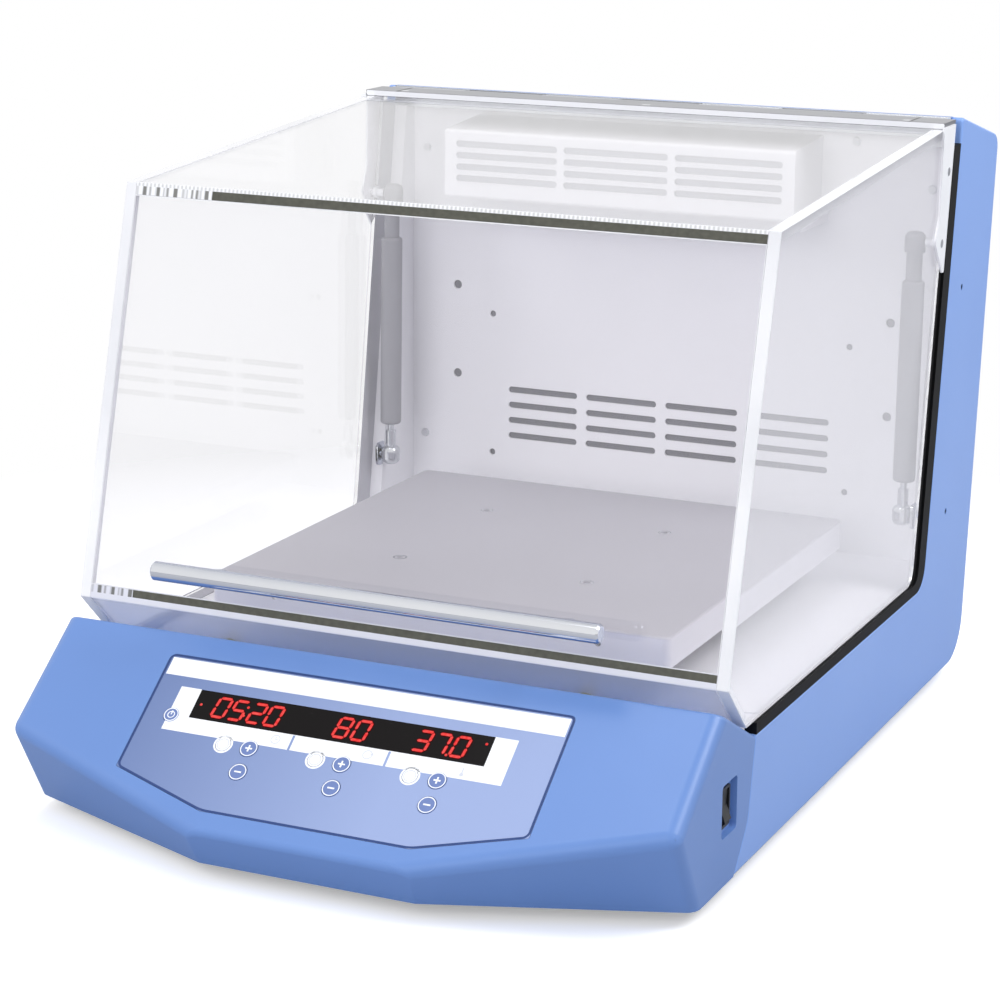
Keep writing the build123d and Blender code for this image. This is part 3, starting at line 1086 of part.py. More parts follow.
with BuildPart() as hood_brackets:
    for sign in (1, -1):
        with BuildSketch(Plane.YZ.offset(sign * HOOD_HALF)):
            outline(BRACKET_OUTLINE, {1: 8.0, 2: 4.0, 3: 1.5, 4: 1.5})
        extrude(amount=sign * BRACKET)
        with BuildSketch(Plane.YZ.offset(sign * HOOD_HALF)):
            with Locations((STUD_Y, STUD_Z)):
                Circle(STUD_RADIUS)
        extrude(amount=-sign * (HOOD_HALF - STUD_END))
        with BuildSketch(Plane.YZ.offset(sign * (HOOD_HALF - ACRYLIC))):
            with Locations((STUD_Y, STUD_Z)):
                Circle(STUD_RADIUS + 1.5)
        extrude(amount=-sign * 2.5)
hood_brackets.part.label = "hood_brackets"
export_step(hood_brackets.part, "parts/hood_brackets.step")

with BuildPart() as hood_screws:
    with BuildSketch(Plane.XY.offset(BAR_TOP_Z - 2.0)):
        with Locations(*BAR_SCREWS):
            Circle(BAR_SCREW)
    extrude(amount=2.0)
    for sign in (1, -1):
        with BuildSketch(Plane.YZ.offset(sign * (HOOD_HALF + BRACKET))):
            with Locations(*BRACKET_SCREWS):
                Circle(BRACKET_SCREW)
        extrude(amount=sign * 0.3)
hood_screws.part.label = "hood_screws"
export_step(hood_screws.part, "parts/hood_screws.step")

# ---------------------------------------------------------------- handle
ROD_RADIUS = 6.25
ROD_HALF = 157.0
ROD_FORWARD, ROD_RISE = 23.65, 33.1      # rod in front of and above the lowest edge of the hood
ROD_Y, ROD_Z = HOOD_KNEE_Y - ROD_FORWARD, HOOD_KNEE_Z + ROD_RISE
POST_X, POST_RADIUS = 124.0, 5.0
LEAN = radians(HOOD_FRONT_LEAN)
POST_DIRECTION = Vector(0, cos(LEAN), -sin(LEAN))
ROD_REACH = (ROD_Z - HOOD_KNEE_Z) * sin(LEAN) + (HOOD_KNEE_Y - ROD_Y) * cos(LEAN)
with BuildPart() as handle_rod:
    with BuildSketch(Plane.YZ.offset(-ROD_HALF)):
        with Locations((ROD_Y, ROD_Z)):
            Circle(ROD_RADIUS)
    extrude(amount=2 * ROD_HALF)
    chamfer(handle_rod.edges().filter_by(GeomType.CIRCLE), 1.2)
handle_rod.part.label = "handle_rod"
export_step(handle_rod.part, "parts/handle_rod.step")

with BuildPart() as handle_posts:
    for sign in (1, -1):
        with BuildSketch(Plane(origin=(sign * POST_X, ROD_Y, ROD_Z), z_dir=POST_DIRECTION)):
            Circle(POST_RADIUS)
        extrude(amount=ROD_REACH)
    with BuildSketch(Plane.YZ.offset(-ROD_HALF)):
        with Locations((ROD_Y, ROD_Z)):
            Circle(ROD_RADIUS)
    extrude(amount=2 * ROD_HALF, mode=Mode.SUBTRACT)
handle_posts.part.label = "handle_posts"
export_step(handle_posts.part, "parts/handle_posts.step")

# ---------------------------------------------------------------- bumpers under the hood
BACK_NORMAL = Vector(0, BACK_FALL, 1).normalized()
STRIP_ANGLE = radians(HOOD_LOWER_ANGLE)
STRIP_NORMAL = Vector(0, sin(STRIP_ANGLE), cos(STRIP_ANGLE))
BUMPER_FOOT = Vector(0, BUMPER_Y - 6, back_z(BUMPER_Y - 6))
BUMPER_HEIGHT = STRIP_NORMAL.dot(Vector(0, HOOD_KNEE_Y, HOOD_KNEE_Z) - BUMPER_FOOT) - SEAL_GAP
with BuildPart() as bumpers:
    for sign in (1, -1):
        with BuildSketch(Plane(origin=BUMPER_FOOT + Vector(sign * BUMPER_X, 0, 0) - STRIP_NORMAL * 4,
                               z_dir=STRIP_NORMAL)):
            Circle(BUMPER_RADIUS)
        extrude(amount=BUMPER_HEIGHT + 4)
    split(bisect_by=Plane(origin=(0, RIDGE_Y, RIDGE_Z), z_dir=BACK_NORMAL), keep=Keep.TOP)
bumpers.part.label = "bumpers"
export_step(bumpers.part, "parts/bumpers.step")

# ================================================================ gas springs
BALL = 5.0
STUD_NECK = 2.8
BALL_Z = 143.0                           # lower ball
BALL_Y = upright_front(BALL_Z) - STUD_NECK - 0.1
SPRING_LENGTH = hypot(STUD_Y - BALL_Y, STUD_Z - BALL_Z)
SOCKET_TOP = 12.0
SOCKET_ROUND = 5.0
ROD = 2.5
TUBE_RADIUS, TUBE_BORE, PISTON = 8.2, 7.0, 6.8
TUBE_FROM = 25.0                         # lower end of the tube above the lower ball
TUBE_TO = SPRING_LENGTH - 28.0
TUBE_ROUND = 2.5
ROD_TO = TUBE_TO - 25.0
PISTON_LENGTH = 6.0
NECK_RADIUS = 5.8
TAB, TAB_HALF = 2.0, 9.0
SPRING_AXIS = Plane(origin=(0, BALL_Y, BALL_Z), x_dir=(1, 0, 0),
                    z_dir=(0, STUD_Y - BALL_Y, STUD_Z - BALL_Z))

for side, sign in (("right", 1), ("left", -1)):
    with BuildPart() as spring_rod:
        with BuildSketch(SPRING_AXIS.offset(-SOCKET_RADIUS)):
            with Locations((sign * SPRING_X, 0)):
                Circle(SOCKET_RADIUS)
        extrude(amount=2 * SOCKET_RADIUS)
        fillet(spring_rod.edges().filter_by(GeomType.CIRCLE), SOCKET_ROUND)
        with BuildSketch(SPRING_AXIS.offset(SOCKET_RADIUS - 1)):
            with Locations((sign * SPRING_X, 0)):
                Circle(ROD + 1.5)
        extrude(amount=SOCKET_TOP + 1)
        with BuildSketch(SPRING_AXIS.offset(SOCKET_TOP)):
            with Locations((sign * SPRING_X, 0)):
                Circle(ROD)
        extrude(amount=ROD_TO - SOCKET_TOP)
        with BuildSketch(SPRING_AXIS.offset(ROD_TO - PISTON_LENGTH)):
            with Locations((sign * SPRING_X, 0)):
                Circle(PISTON)
        extrude(amount=PISTON_LENGTH)
        with BuildSketch(Plane(origin=(0, BALL_Y, BALL_Z))):
            with Locations((sign * SPRING_X, 0)):
                Circle(BALL + 2 * BORE_GAP)
            Rectangle(3 * SPRING_X, 3 * BALL, align=(Align.CENTER, Align.MAX), mode=Mode.SUBTRACT)
            with Locations((sign * (SPRING_X + SOCKET_RADIUS / 2 + 1), 0)):
                Rectangle(SOCKET_RADIUS + 2, STUD_NECK + 2 * FIT_GAP, align=(Align.CENTER, Align.MIN))
        revolve(axis=Axis((0, BALL_Y, BALL_Z), (1, 0, 0)), mode=Mode.SUBTRACT)
    spring_rod.part.label = f"spring_rod_{side}"
    export_step(spring_rod.part, f"parts/spring_rod_{side}.step")

    with BuildPart() as spring_tube:
        with BuildSketch(SPRING_AXIS.offset(TUBE_FROM)):
            with Locations((sign * SPRING_X, 0)):
                Circle(TUBE_RADIUS)
        extrude(amount=TUBE_TO - TUBE_FROM)
        fillet(spring_tube.edges().filter_by(GeomType.CIRCLE), TUBE_ROUND)
        with BuildSketch(SPRING_AXIS.offset(TUBE_TO)):
            with Locations((sign * SPRING_X, 0)):
                Circle(NECK_RADIUS)
        extrude(amount=SPRING_LENGTH - TUBE_TO)
        with BuildSketch(SPRING_AXIS.offset(SPRING_LENGTH - SOCKET_RADIUS)):
            with Locations((sign * SPRING_X, 0)):
                Circle(SOCKET_RADIUS)
        extrude(amount=2 * SOCKET_RADIUS)
        tip = SPRING_AXIS.from_local_coords((sign * SPRING_X, 0, SPRING_LENGTH + SOCKET_RADIUS))
        fillet(spring_tube.edges().filter_by(GeomType.CIRCLE).sort_by_distance(tip)[0], SOCKET_ROUND)
        with BuildSketch(SPRING_AXIS.offset(TUBE_FROM + 3)):
            with Locations((sign * SPRING_X, 0)):
                Circle(TUBE_BORE)
        extrude(amount=TUBE_TO - TUBE_FROM - 5, mode=Mode.SUBTRACT)
        with BuildSketch(SPRING_AXIS.offset(TUBE_FROM)):
            with Locations((sign * SPRING_X, 0)):
                Circle(ROD + BORE_GAP)
        extrude(amount=4, mode=Mode.SUBTRACT)
    spring_tube.part.label = f"spring_tube_{side}"
    export_step(spring_tube.part, f"parts/spring_tube_{side}.step")

with BuildPart() as lower_studs:
    for sign in (1, -1):
        with BuildSketch(Plane.YZ.offset(sign * CHAMBER_HALF)):
            outline([(BALL_Y - 7, BALL_Z - TAB_HALF), (upright_front(BALL_Z - TAB_HALF), BALL_Z - TAB_HALF),
                     (upright_front(BALL_Z + TAB_HALF), BALL_Z + TAB_HALF), (BALL_Y - 7, BALL_Z + TAB_HALF)],
                    {0: 4.0, 3: 4.0})
        extrude(amount=sign * TAB)
        with BuildSketch(Plane(origin=(0, BALL_Y, BALL_Z))):
            with Locations((sign * SPRING_X, 0)):
                Circle(BALL)
            Rectangle(3 * SPRING_X, 3 * BALL, align=(Align.CENTER, Align.MAX), mode=Mode.SUBTRACT)
            with Locations((sign * (SPRING_X + CHAMBER_HALF) / 2, 0)):
                Rectangle(CHAMBER_HALF - SPRING_X, STUD_NECK, align=(Align.CENTER, Align.MIN))
        revolve(axis=Axis((0, BALL_Y, BALL_Z), (1, 0, 0)))
lower_studs.part.label = "lower_studs"
export_step(lower_studs.part, "parts/lower_studs.step")

# ================================================================ sockets on the rear face
FLANGE_SHEET = 2.0
with BuildPart() as mains_inlet:
    with BuildSketch(REAR_FACE):
        with Locations((INLET_X, INLET_UP)):
            RectangleRounded(INLET_WIDTH + 6, INLET_HEIGHT + 6, 3.0)
    extrude(amount=FLANGE_SHEET)
    with BuildSketch(REAR_FACE):
        with Locations((INLET_X, INLET_UP)):
            Rectangle(INLET_WIDTH, INLET_HEIGHT)
    extrude(amount=-22.0)
    with BuildSketch(REAR_FACE.offset(FLANGE_SHEET)):
        with Locations((INLET_X, INLET_UP - 9)):
            RectangleRounded(24.5, 18.5, 4.0)
    extrude(amount=-18.0, mode=Mode.SUBTRACT)
    with BuildSketch(REAR_FACE.offset(-16.0)):
        with Locations((INLET_X - 7, INLET_UP - 11), (INLET_X + 7, INLET_UP - 11), (INLET_X, INLET_UP - 7)):
            Rectangle(2.0, 4.0)
    extrude(amount=14.0)
    with BuildSketch(REAR_FACE.offset(FLANGE_SHEET)):
        with Locations((INLET_X, INLET_UP + 13)):
            RectangleRounded(FUSE_WIDTH, FUSE_HEIGHT, 1.0)
    extrude(amount=1.0)
mains_inlet.part.label = "mains_inlet"
export_step(mains_inlet.part, "parts/mains_inlet.step")

with BuildPart() as data_sockets:
    with BuildSketch(REAR_FACE):
        with Locations(*[(SERIAL_X - n * SERIAL_PITCH, SERIAL_UP) for n in range(2)]):
            RectangleRounded(SERIAL_WIDTH + SERIAL_FLANGE, SERIAL_HEIGHT + SERIAL_RIM, 1.5)
    extrude(amount=1.5)
    with BuildSketch(REAR_FACE.offset(5.0)):
        with Locations(*[(SERIAL_X - n * SERIAL_PITCH, SERIAL_UP) for n in range(2)]):
            RectangleRounded(SERIAL_WIDTH, SERIAL_HEIGHT, 2.0)
    extrude(amount=-14.0)
    with BuildSketch(REAR_FACE.offset(5.0)):
        with Locations(*[(SERIAL_X - n * SERIAL_PITCH, SERIAL_UP) for n in range(2)]):
            RectangleRounded(SERIAL_WIDTH - 1.6, SERIAL_HEIGHT - 1.6, 1.5)
    extrude(amount=-4.0, mode=Mode.SUBTRACT)
data_sockets.part.label = "data_sockets"
export_step(data_sockets.part, "parts/data_sockets.step")

with BuildPart() as coolant_nozzles:
    for n in range(2):
        place = (NOZZLE_X - n * NOZZLE_PITCH, NOZZLE_UP)
        with BuildSketch(REAR_FACE.offset(-12.0)):
            with Locations(place):
                Circle(NOZZLE_RADIUS)
        extrude(amount=34.0)
        with BuildSketch(REAR_FACE):
            with Locations(place):
                RegularPolygon(NOZZLE_COLLAR, 6)
        extrude(amount=5.0)
        for up in (11.0, 16.0):
            with BuildSketch(REAR_FACE.offset(up)):
                with Locations(place):
                    Circle(NOZZLE_RADIUS + 1.0)
            extrude(amount=3.5, taper=14)
        with BuildSketch(REAR_FACE.offset(22.0)):
            with Locations(place):
                Circle(NOZZLE_RADIUS - 1.5)
        extrude(amount=-34.0, mode=Mode.SUBTRACT)
coolant_nozzles.part.label = "coolant_nozzles"
export_step(coolant_nozzles.part, "parts/coolant_nozzles.step")
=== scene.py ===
# %% [markdown]
# # An incubated benchtop shaker
# A shaking platform stands in a heated chamber under a clear acrylic hood. In front of it slopes a
# painted console with membrane keys and a red display. The shapes with real sizes come from the
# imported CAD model, which is loaded as a fixed frame. This script adds the fine pieces and the
# finishes. It could model everything again, but then the two models would drift apart.

# %% Load the frame
import bmesh
import bpy
from math import cos, radians, sin, tan
from mathutils import Matrix, Vector


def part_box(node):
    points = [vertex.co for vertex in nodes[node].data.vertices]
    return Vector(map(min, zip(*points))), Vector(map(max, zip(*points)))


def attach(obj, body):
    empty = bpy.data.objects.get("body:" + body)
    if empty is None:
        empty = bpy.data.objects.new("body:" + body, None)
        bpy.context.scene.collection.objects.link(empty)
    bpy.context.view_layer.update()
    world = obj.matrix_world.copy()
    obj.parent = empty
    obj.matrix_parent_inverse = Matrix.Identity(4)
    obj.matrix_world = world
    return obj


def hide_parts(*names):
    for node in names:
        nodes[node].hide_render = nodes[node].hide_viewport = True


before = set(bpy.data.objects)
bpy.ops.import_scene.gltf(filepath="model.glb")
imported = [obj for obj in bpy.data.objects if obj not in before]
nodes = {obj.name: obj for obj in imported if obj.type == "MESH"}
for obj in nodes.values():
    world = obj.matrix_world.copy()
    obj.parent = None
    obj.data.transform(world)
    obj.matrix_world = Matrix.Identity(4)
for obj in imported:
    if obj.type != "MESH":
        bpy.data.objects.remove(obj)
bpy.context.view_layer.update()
MM = 0.001

# %% [markdown]
# ## The camera
# The photograph was taken from the front right and a little above. A camera can be placed by eye,
# but then straight edges never line up. This one was found by fitting edges of the object whose
# sizes are known, which gives its place, its three angles and its focal length in pixels. A small
# lens shift stands for the way the picture was cut out of a larger one.

# %% Camera
IMAGE_WIDTH = 1000.0
SENSOR_WIDTH = 36.0
FOCAL_PIXELS, CENTRE_X, CENTRE_Y = 2780.99, 512.743, 466.518
CAMERA_PLACE = Vector((0.7754, -1.7144, 0.6666))
turn, tip, tilt = radians(24.679), radians(-13.961), radians(0.399)
forward = Vector((-sin(turn) * cos(tip), cos(turn) * cos(tip), sin(tip)))
level = Vector((cos(turn), sin(turn), 0))
upward = level.cross(forward)
right_side = level * cos(tilt) + upward * sin(tilt)
top_side = upward * cos(tilt) - level * sin(tilt)
lens_data = bpy.data.cameras.new("photo_camera")
lens_data.sensor_width = SENSOR_WIDTH
lens_data.lens = FOCAL_PIXELS / IMAGE_WIDTH * SENSOR_WIDTH
lens_data.shift_x = 0.5 - CENTRE_X / IMAGE_WIDTH
lens_data.shift_y = CENTRE_Y / IMAGE_WIDTH - 0.5
lens_data.clip_start, lens_data.clip_end = 0.05, 50.0
photo_camera = bpy.data.objects.new("photo_camera", lens_data)
axes = Matrix((right_side, top_side, -forward)).transposed().to_4x4()
photo_camera.matrix_world = Matrix.Translation(CAMERA_PLACE) @ axes
bpy.context.scene.collection.objects.link(photo_camera)
bpy.context.scene.camera = photo_camera
print("lens", round(lens_data.lens, 2), "mm")

# %% [markdown]
# ## Colours and nodes
# Colours are written as the sRGB hex values a painter would pick. The renderer adds up light in
# linear values, so one function turns one into the other. A node tree could be built line by line,
# but one more function that adds a node, sets its sockets and links it keeps each recipe readable.


# %% Colour and node helpers
def paint(hex_colour):
    """Linear colour, opaque, from an sRGB hex value."""
    parts = [int(hex_colour[i:i + 2], 16) / 255 for i in (1, 3, 5)]
    return (*[c / 12.92 if c <= 0.04045 else ((c + 0.055) / 1.055) ** 2.4 for c in parts], 1.0)


def add(tree, kind, sockets={}, **settings):
    """Adds a node. Each socket gets a plain value or another node's output."""
    made = tree.nodes.new("ShaderNode" + kind)
    for name, value in settings.items():
        setattr(made, name, value)
    for name, value in sockets.items():
        if isinstance(value, bpy.types.NodeSocket):
            tree.links.new(value, made.inputs[name])
        else:
            made.inputs[name].default_value = value
    return made


# Two sockets of a colour Mix node share a name, so they are reached by their numbers.
FIRST, SECOND, MIXED = 6, 7, 2


def bare_material(name):
    """A material with an empty node tree, and its tree."""
    made = bpy.data.materials.new(name)
    made.use_nodes = True
    made.node_tree.nodes.clear()
    return made, made.node_tree


print("helpers ready")

# %% [markdown]
# ## One recipe for painted, metal and moulded surfaces
# No real surface has one even colour or a perfectly smooth skin. Image textures could show that,
# but they fix a scale and need unwrapped meshes. A slow noise that drifts between two close colours
# and a fine noise that bumps the skin do the same at any size. The grain is given in millimetres.

# %% Surface recipe
DRIFTS_PER_METRE = 9.0
BUMP_STRENGTH = 0.35


def surface(name, dark, light, grain_mm, bump_mm, **shader):
    """A material that drifts from dark to light and whose skin has a grain of a real size."""
    made, tree = bare_material(name)
    place = add(tree, "TexCoord").outputs["Object"]
    drift = add(tree, "TexNoise", {"Vector": place, "Scale": DRIFTS_PER_METRE, "Detail": 3.0})
    tone = add(tree, "Mix", {"Factor": drift.outputs["Fac"], FIRST: paint(dark),
                             SECOND: paint(light)}, data_type="RGBA")
    grain = add(tree, "TexNoise", {"Vector": place, "Scale": 1 / (grain_mm * MM), "Detail": 2.0})
    skin = add(tree, "Bump", {"Height": grain.outputs["Fac"], "Strength": BUMP_STRENGTH,
                              "Distance": bump_mm * MM})
    body = add(tree, "BsdfPrincipled", {"Base Color": tone.outputs[MIXED],
                                        "Normal": skin.outputs["Normal"], **shader})
    add(tree, "OutputMaterial", {"Surface": body.outputs["BSDF"]})
    return made


print("surface recipe ready")

# %% [markdown]
# ## Painted metal
# The housing is sheet and cast metal with a baked powder coat. Powder flows into a skin with a
# faint orange peel about a millimetre and a half across, and shines softly. The chamber inside has
# the same coat in light grey, and the platform a matter one. A car paint shader would be glossier
# than these, so a plain skin with a weak clear coat is used.

# %% Powder coats and enamels
SOFT_COAT = {"Coat Weight": 0.15, "Coat Roughness": 0.25}
# Mid blue that lights up along rounded edges. The console is cast and takes a deeper tone.
blue_coat = surface("blue_powder_coat", "#7A9EDF", "#83A6E4", 1.5, 0.03, Roughness=0.4, **SOFT_COAT)
console_coat = surface("blue_powder_coat_console", "#5E81BE", "#668AC8", 1.5, 0.03,
                       Roughness=0.36, **SOFT_COAT)
# Cool light grey that spreads the light in the chamber without a highlight.
chamber_coat = surface("light_grey_powder_coat", "#E8E8EC", "#EFEFF3", 1.5, 0.03, Roughness=0.5)
# Flat mid grey, so that the platform reads as the working surface.
platform_coat = surface("matt_grey_powder_coat", "#A9A8AF", "#AFAEB5", 0.8, 0.03, Roughness=0.5)
# Sprayed enamels are smoother than powder: near white, satin grey and pale grey.
bracket_coat = surface("white_enamel", "#E6E8EC", "#F0F1F4", 1.2, 0.01, Roughness=0.3)
spring_enamel = surface("grey_spring_enamel", "#8E8E94", "#9A9AA0", 0.6, 0.004, Roughness=0.4)
carrier_enamel = surface("pale_trim_enamel", "#B4B4BB", "#BFBFC6", 0.8, 0.01, Roughness=0.45)
# Galvanised sheet under the machine, with crystals some millimetres across and a dull shine.
pan_coat = surface("dull_zinc_sheet", "#8F949C", "#A3A7AE", 6.0, 0.02, Roughness=0.5, Metallic=0.8)
print("coats made")

# %% [markdown]
# ## Painted light on the platform rim
# The rim of the platform is painted lighter than its top. This is painted light: the front light
# falls more on the rim's sides than on the top. The mesh could be cut where the tone changes, but a
# CAD mesh isn't touched. The height of each point picks the colour instead, with a soft step a
# millimetre or two wide.


# %% Rim of the platform
def second_colour(material, axis, start, end, hex_colour):
    """Gives a material another colour where the distance along an axis is under start."""
    tree = material.node_tree
    place = add(tree, "SeparateXYZ", {"Vector": add(tree, "TexCoord").outputs["Object"]})
    distance = add(tree, "Math", {0: place.outputs[axis]}, operation="ABSOLUTE")
    beyond = add(tree, "MapRange", {"Value": distance.outputs["Value"],
                                    "From Min": start * MM, "From Max": end * MM})
    skin = tree.nodes["Principled BSDF"]
    tone = add(tree, "Mix", {"Factor": beyond.outputs["Result"], FIRST: paint(hex_colour),
                             SECOND: skin.inputs["Base Color"].links[0].from_socket},
               data_type="RGBA")
    tree.links.new(tone.outputs[MIXED], skin.inputs["Base Color"])


RIM_HEIGHT, TOP_HEIGHT = 137.0, 138.9
# Painted light: below this height the rim is painted lighter, where the front light falls on it.
second_colour(platform_coat, "Z", RIM_HEIGHT, TOP_HEIGHT, "#D9D8DF")
print("platform has a pale rim up to", RIM_HEIGHT, "mm")

# %% [markdown]
# ## Bare metal, rubber and plastic
# The handle is a chromed rod, screws and pins are zinc plated steel and the drive parts are cast
# aluminium. A metal's look could be faked with grey paint, but a full metallic value reflects the
# room and is right under any light. Metals keep the default IOR and differ in colour and roughness.
# The grains are moulding and polishing marks, some drawn a little coarser than real so they show.

# %% Metals, rubbers and plastics
# Mirror-like plate with a cool tone.
chrome = surface("chrome_plate", "#DFE1E5", "#EBECEF", 0.5, 0.002, Roughness=0.09, Metallic=1.0)
# Bright but slightly cloudy steel, and blackened steel that reads as small dark dots.
bright_steel = surface("zinc_plated_steel", "#C9CBCF", "#DADCE0", 0.5, 0.005,
                       Roughness=0.22, Metallic=1.0)
dark_steel = surface("blackened_steel", "#23272F", "#333943", 0.5, 0.005,
                     Roughness=0.4, Metallic=0.6)
# Aluminium: anodised to an even satin on the hinge bar, coarse and dull where it is cast.
bar_metal = surface("satin_anodised_aluminium", "#97989D", "#A1A2A7", 0.4, 0.005,
                    Roughness=0.35, Metallic=0.9)
cast_metal = surface("cast_aluminium", "#9FA1A5", "#B4B6B9", 2.0, 0.08,
                     Roughness=0.45, Metallic=0.9)
# Steel browned by its own heat, and yellow brass with a turned finish.
heater_metal = surface("heat_tinted_steel", "#5E5148", "#7B7270", 3.0, 0.01,
                       Roughness=0.35, Metallic=1.0)
hose_brass = surface("turned_brass", "#C2A15A", "#D3B573", 0.4, 0.005, Roughness=0.25, Metallic=1.0)
# Rubber swallows light: the seals are nearly black, the bumpers a dusty olive.
seal_rubber = surface("black_seal_rubber", "#060607", "#0D0D0F", 0.6, 0.03,
                      Roughness=0.55, **{"Specular IOR Level": 0.12})
bumper_rubber = surface("olive_bumper_rubber", "#6C6D5F", "#787A6C", 0.6, 0.02, Roughness=0.55)
# Black plastic with a fine spark-eroded grain, and the green lacquer of a circuit board.
switch_plastic = surface("black_moulded_plastic", "#101113", "#18191B", 0.4, 0.02, Roughness=0.42)
board_laminate = surface("green_solder_mask", "#1E5A3A", "#256645", 1.0, 0.01, Roughness=0.35)
print("metals, rubbers and plastics made")

# %% [markdown]
# ## Chrome rims and pale screws
# In a bright room chrome still shows darker lines along its rims, where it mirrors what stands low
# and far. Dark cards round the object would do that, but they would show in other views, so Layer
# Weight blends a darker tone in where the surface turns away. The screws on the outer panels are
# blackened and those in the chamber keep a pale finish, which the distance from the middle picks.

# %% Rim tone and screw tone
RIM_BLEND = 0.35
PANEL_INSIDE, PANEL_OUTSIDE = 222.0, 223.0
chrome_tree = chrome.node_tree
chrome_skin = chrome_tree.nodes["Principled BSDF"]
rim = add(chrome_tree, "LayerWeight", {"Blend": RIM_BLEND})
chrome_tone = add(chrome_tree, "Mix", {
    "Factor": rim.outputs["Facing"], SECOND: paint("#5F6F94"),
    FIRST: chrome_skin.inputs["Base Color"].links[0].from_socket}, data_type="RGBA")
chrome_tree.links.new(chrome_tone.outputs[MIXED], chrome_skin.inputs["Base Color"])
second_colour(dark_steel, "X", PANEL_INSIDE, PANEL_OUTSIDE, "#D4D5DA")
print("chrome rims darkened, chamber screws pale")

# %% [markdown]
# ## Clear acrylic
# The hood is bonded from 8 mm cast acrylic with an IOR of 1.49. Plain transparency would be quick,
# but real refraction gives the bright and dark edges that make a clear box readable. Solid glass
# blocks the lamps, so shadow and diffuse rays pass through a plain transparent shader instead.
# Wiping and flame polishing leave some haze, which is a share of the shader that isn't clear.


# %% Acrylic
def clear_acrylic(name, tint, haze):
    """Solid acrylic that lets the lamps through, clear but for a share of haze."""
    made, tree = bare_material(name)
    glass = add(tree, "BsdfPrincipled", {"Base Color": paint(tint), "Roughness": 0.0, "IOR": 1.49,
                                         "Transmission Weight": 1 - haze})
    through = add(tree, "BsdfTransparent", {"Color": paint("#FCFBFC")})
    ray = add(tree, "LightPath")
    soft_ray = add(tree, "Math", {0: ray.outputs["Is Shadow Ray"],
                                  1: ray.outputs["Is Diffuse Ray"]}, operation="MAXIMUM")
    both = add(tree, "MixShader", {0: soft_ray.outputs["Value"], 1: glass.outputs["BSDF"],
                                   2: through.outputs["BSDF"]})
    add(tree, "OutputMaterial", {"Surface": both.outputs["Shader"]})
    return made


acrylic = clear_acrylic("clear_cast_acrylic", "#FDFDFE", 0.0)
wiped_acrylic = clear_acrylic("wiped_cast_acrylic", "#FBFBFD", 0.14)
hazed_acrylic = clear_acrylic("hazed_cast_acrylic", "#E4E5EC", 0.42)
print("acrylic made, clear, wiped and hazed")

# %% [markdown]
# ## Sawn and bonded edges
# A sawn edge is polished by hand and stays milky. Where two panels are bonded, the front edge shows
# a dark olive band, a painted reflection of the dark inside seen down the glue line. Toward one end
# the glue is uneven and the painted band breaks into ticks, and above it runs a fine dotted line.
# Tracing all that as geometry would need slivers, so the edge's own height and its place along X
# choose the colour.

# %% Bonded edge recipe
TICK_MM, TICK_FROM, TICK_FULL, TICK_SHARE = 3.4, 0.44, 0.64, 0.85
DOT_MM, DOT_FROM, DOT_FULL, DOT_SHARE = 1.5, 0.5, 1.0, 0.4
BAND_MOTTLES_PER_METRE = 260.0
edge_white = surface("polished_acrylic_edge", "#C4C6CC", "#FAFAFC", 3.0, 0.02,
                     Roughness=0.12, **{"IOR": 1.49, "Coat Weight": 0.4})


def bonded_edge(name, band_from, band_to, whole_from, glow):
    """A bonded edge: a dark band of painted reflection between two heights, broken into ticks left
    of an x.
    """
    made, tree = bare_material(name)
    point = add(tree, "TexCoord").outputs["Object"]
    place = add(tree, "SeparateXYZ", {"Vector": point})
    x, z = place.outputs["X"], place.outputs["Z"]

    # The band: over its lower height and under its upper one.
    above = add(tree, "Math", {0: z, 1: band_from * MM}, operation="GREATER_THAN")
    below = add(tree, "Math", {0: z, 1: band_to * MM}, operation="LESS_THAN")
    band = add(tree, "Math", {0: above.outputs["Value"], 1: below.outputs["Value"]},
               operation="MULTIPLY")

    # The ticks: noise along x alone, until the glue is whole.
    ticks = add(tree, "TexNoise", {"W": x, "Scale": 1 / (TICK_MM * MM), "Detail": 0.0},
                noise_dimensions="1D")
    tick = add(tree, "MapRange", {"Value": ticks.outputs["Fac"], "From Min": TICK_FROM,
                                  "From Max": TICK_FULL, "To Max": TICK_SHARE})
    whole = add(tree, "Math", {0: x, 1: whole_from * MM}, operation="GREATER_THAN")
    shown = add(tree, "Math", {0: tick.outputs["Result"], 1: whole.outputs["Value"]},
                operation="MAXIMUM")
    dark = add(tree, "Math", {0: band.outputs["Value"], 1: shown.outputs["Value"]},
               operation="MULTIPLY")
    band_mottle = add(tree, "TexNoise", {"Vector": point, "Scale": BAND_MOTTLES_PER_METRE})
    # The olive is a painted reflection of the dark inside, mottled by noise.
    olive = add(tree, "Mix", {"Factor": band_mottle.outputs["Fac"], FIRST: paint("#3C3D36"),
                              SECOND: paint("#5A5A50")}, data_type="RGBA")

    # The dots: a zigzag along x, kept only above the band.
    dots = add(tree, "Math", {0: x, 1: DOT_MM * MM}, operation="PINGPONG")
    dot = add(tree, "MapRange", {"Value": dots.outputs["Value"], "From Min": DOT_FROM * MM,
                                 "From Max": DOT_FULL * MM, "To Max": DOT_SHARE})
    over = add(tree, "Math", {0: z, 1: (band_to + 0.1) * MM}, operation="GREATER_THAN")
    dotted = add(tree, "Math", {0: dot.outputs["Result"], 1: over.outputs["Value"]},
                 operation="MULTIPLY")
    pale = add(tree, "Mix", {"Factor": dotted.outputs["Value"], FIRST: paint(glow),
                             SECOND: paint("#8F918C")}, data_type="RGBA")

    tone = add(tree, "Mix", {"Factor": dark.outputs["Value"], FIRST: pale.outputs[MIXED],
                             SECOND: olive.outputs[MIXED]}, data_type="RGBA")
    edge = add(tree, "BsdfPrincipled", {"Base Color": tone.outputs[MIXED], "Roughness": 0.2,
                                        "IOR": 1.49})
    add(tree, "OutputMaterial", {"Surface": edge.outputs["BSDF"]})
    return made


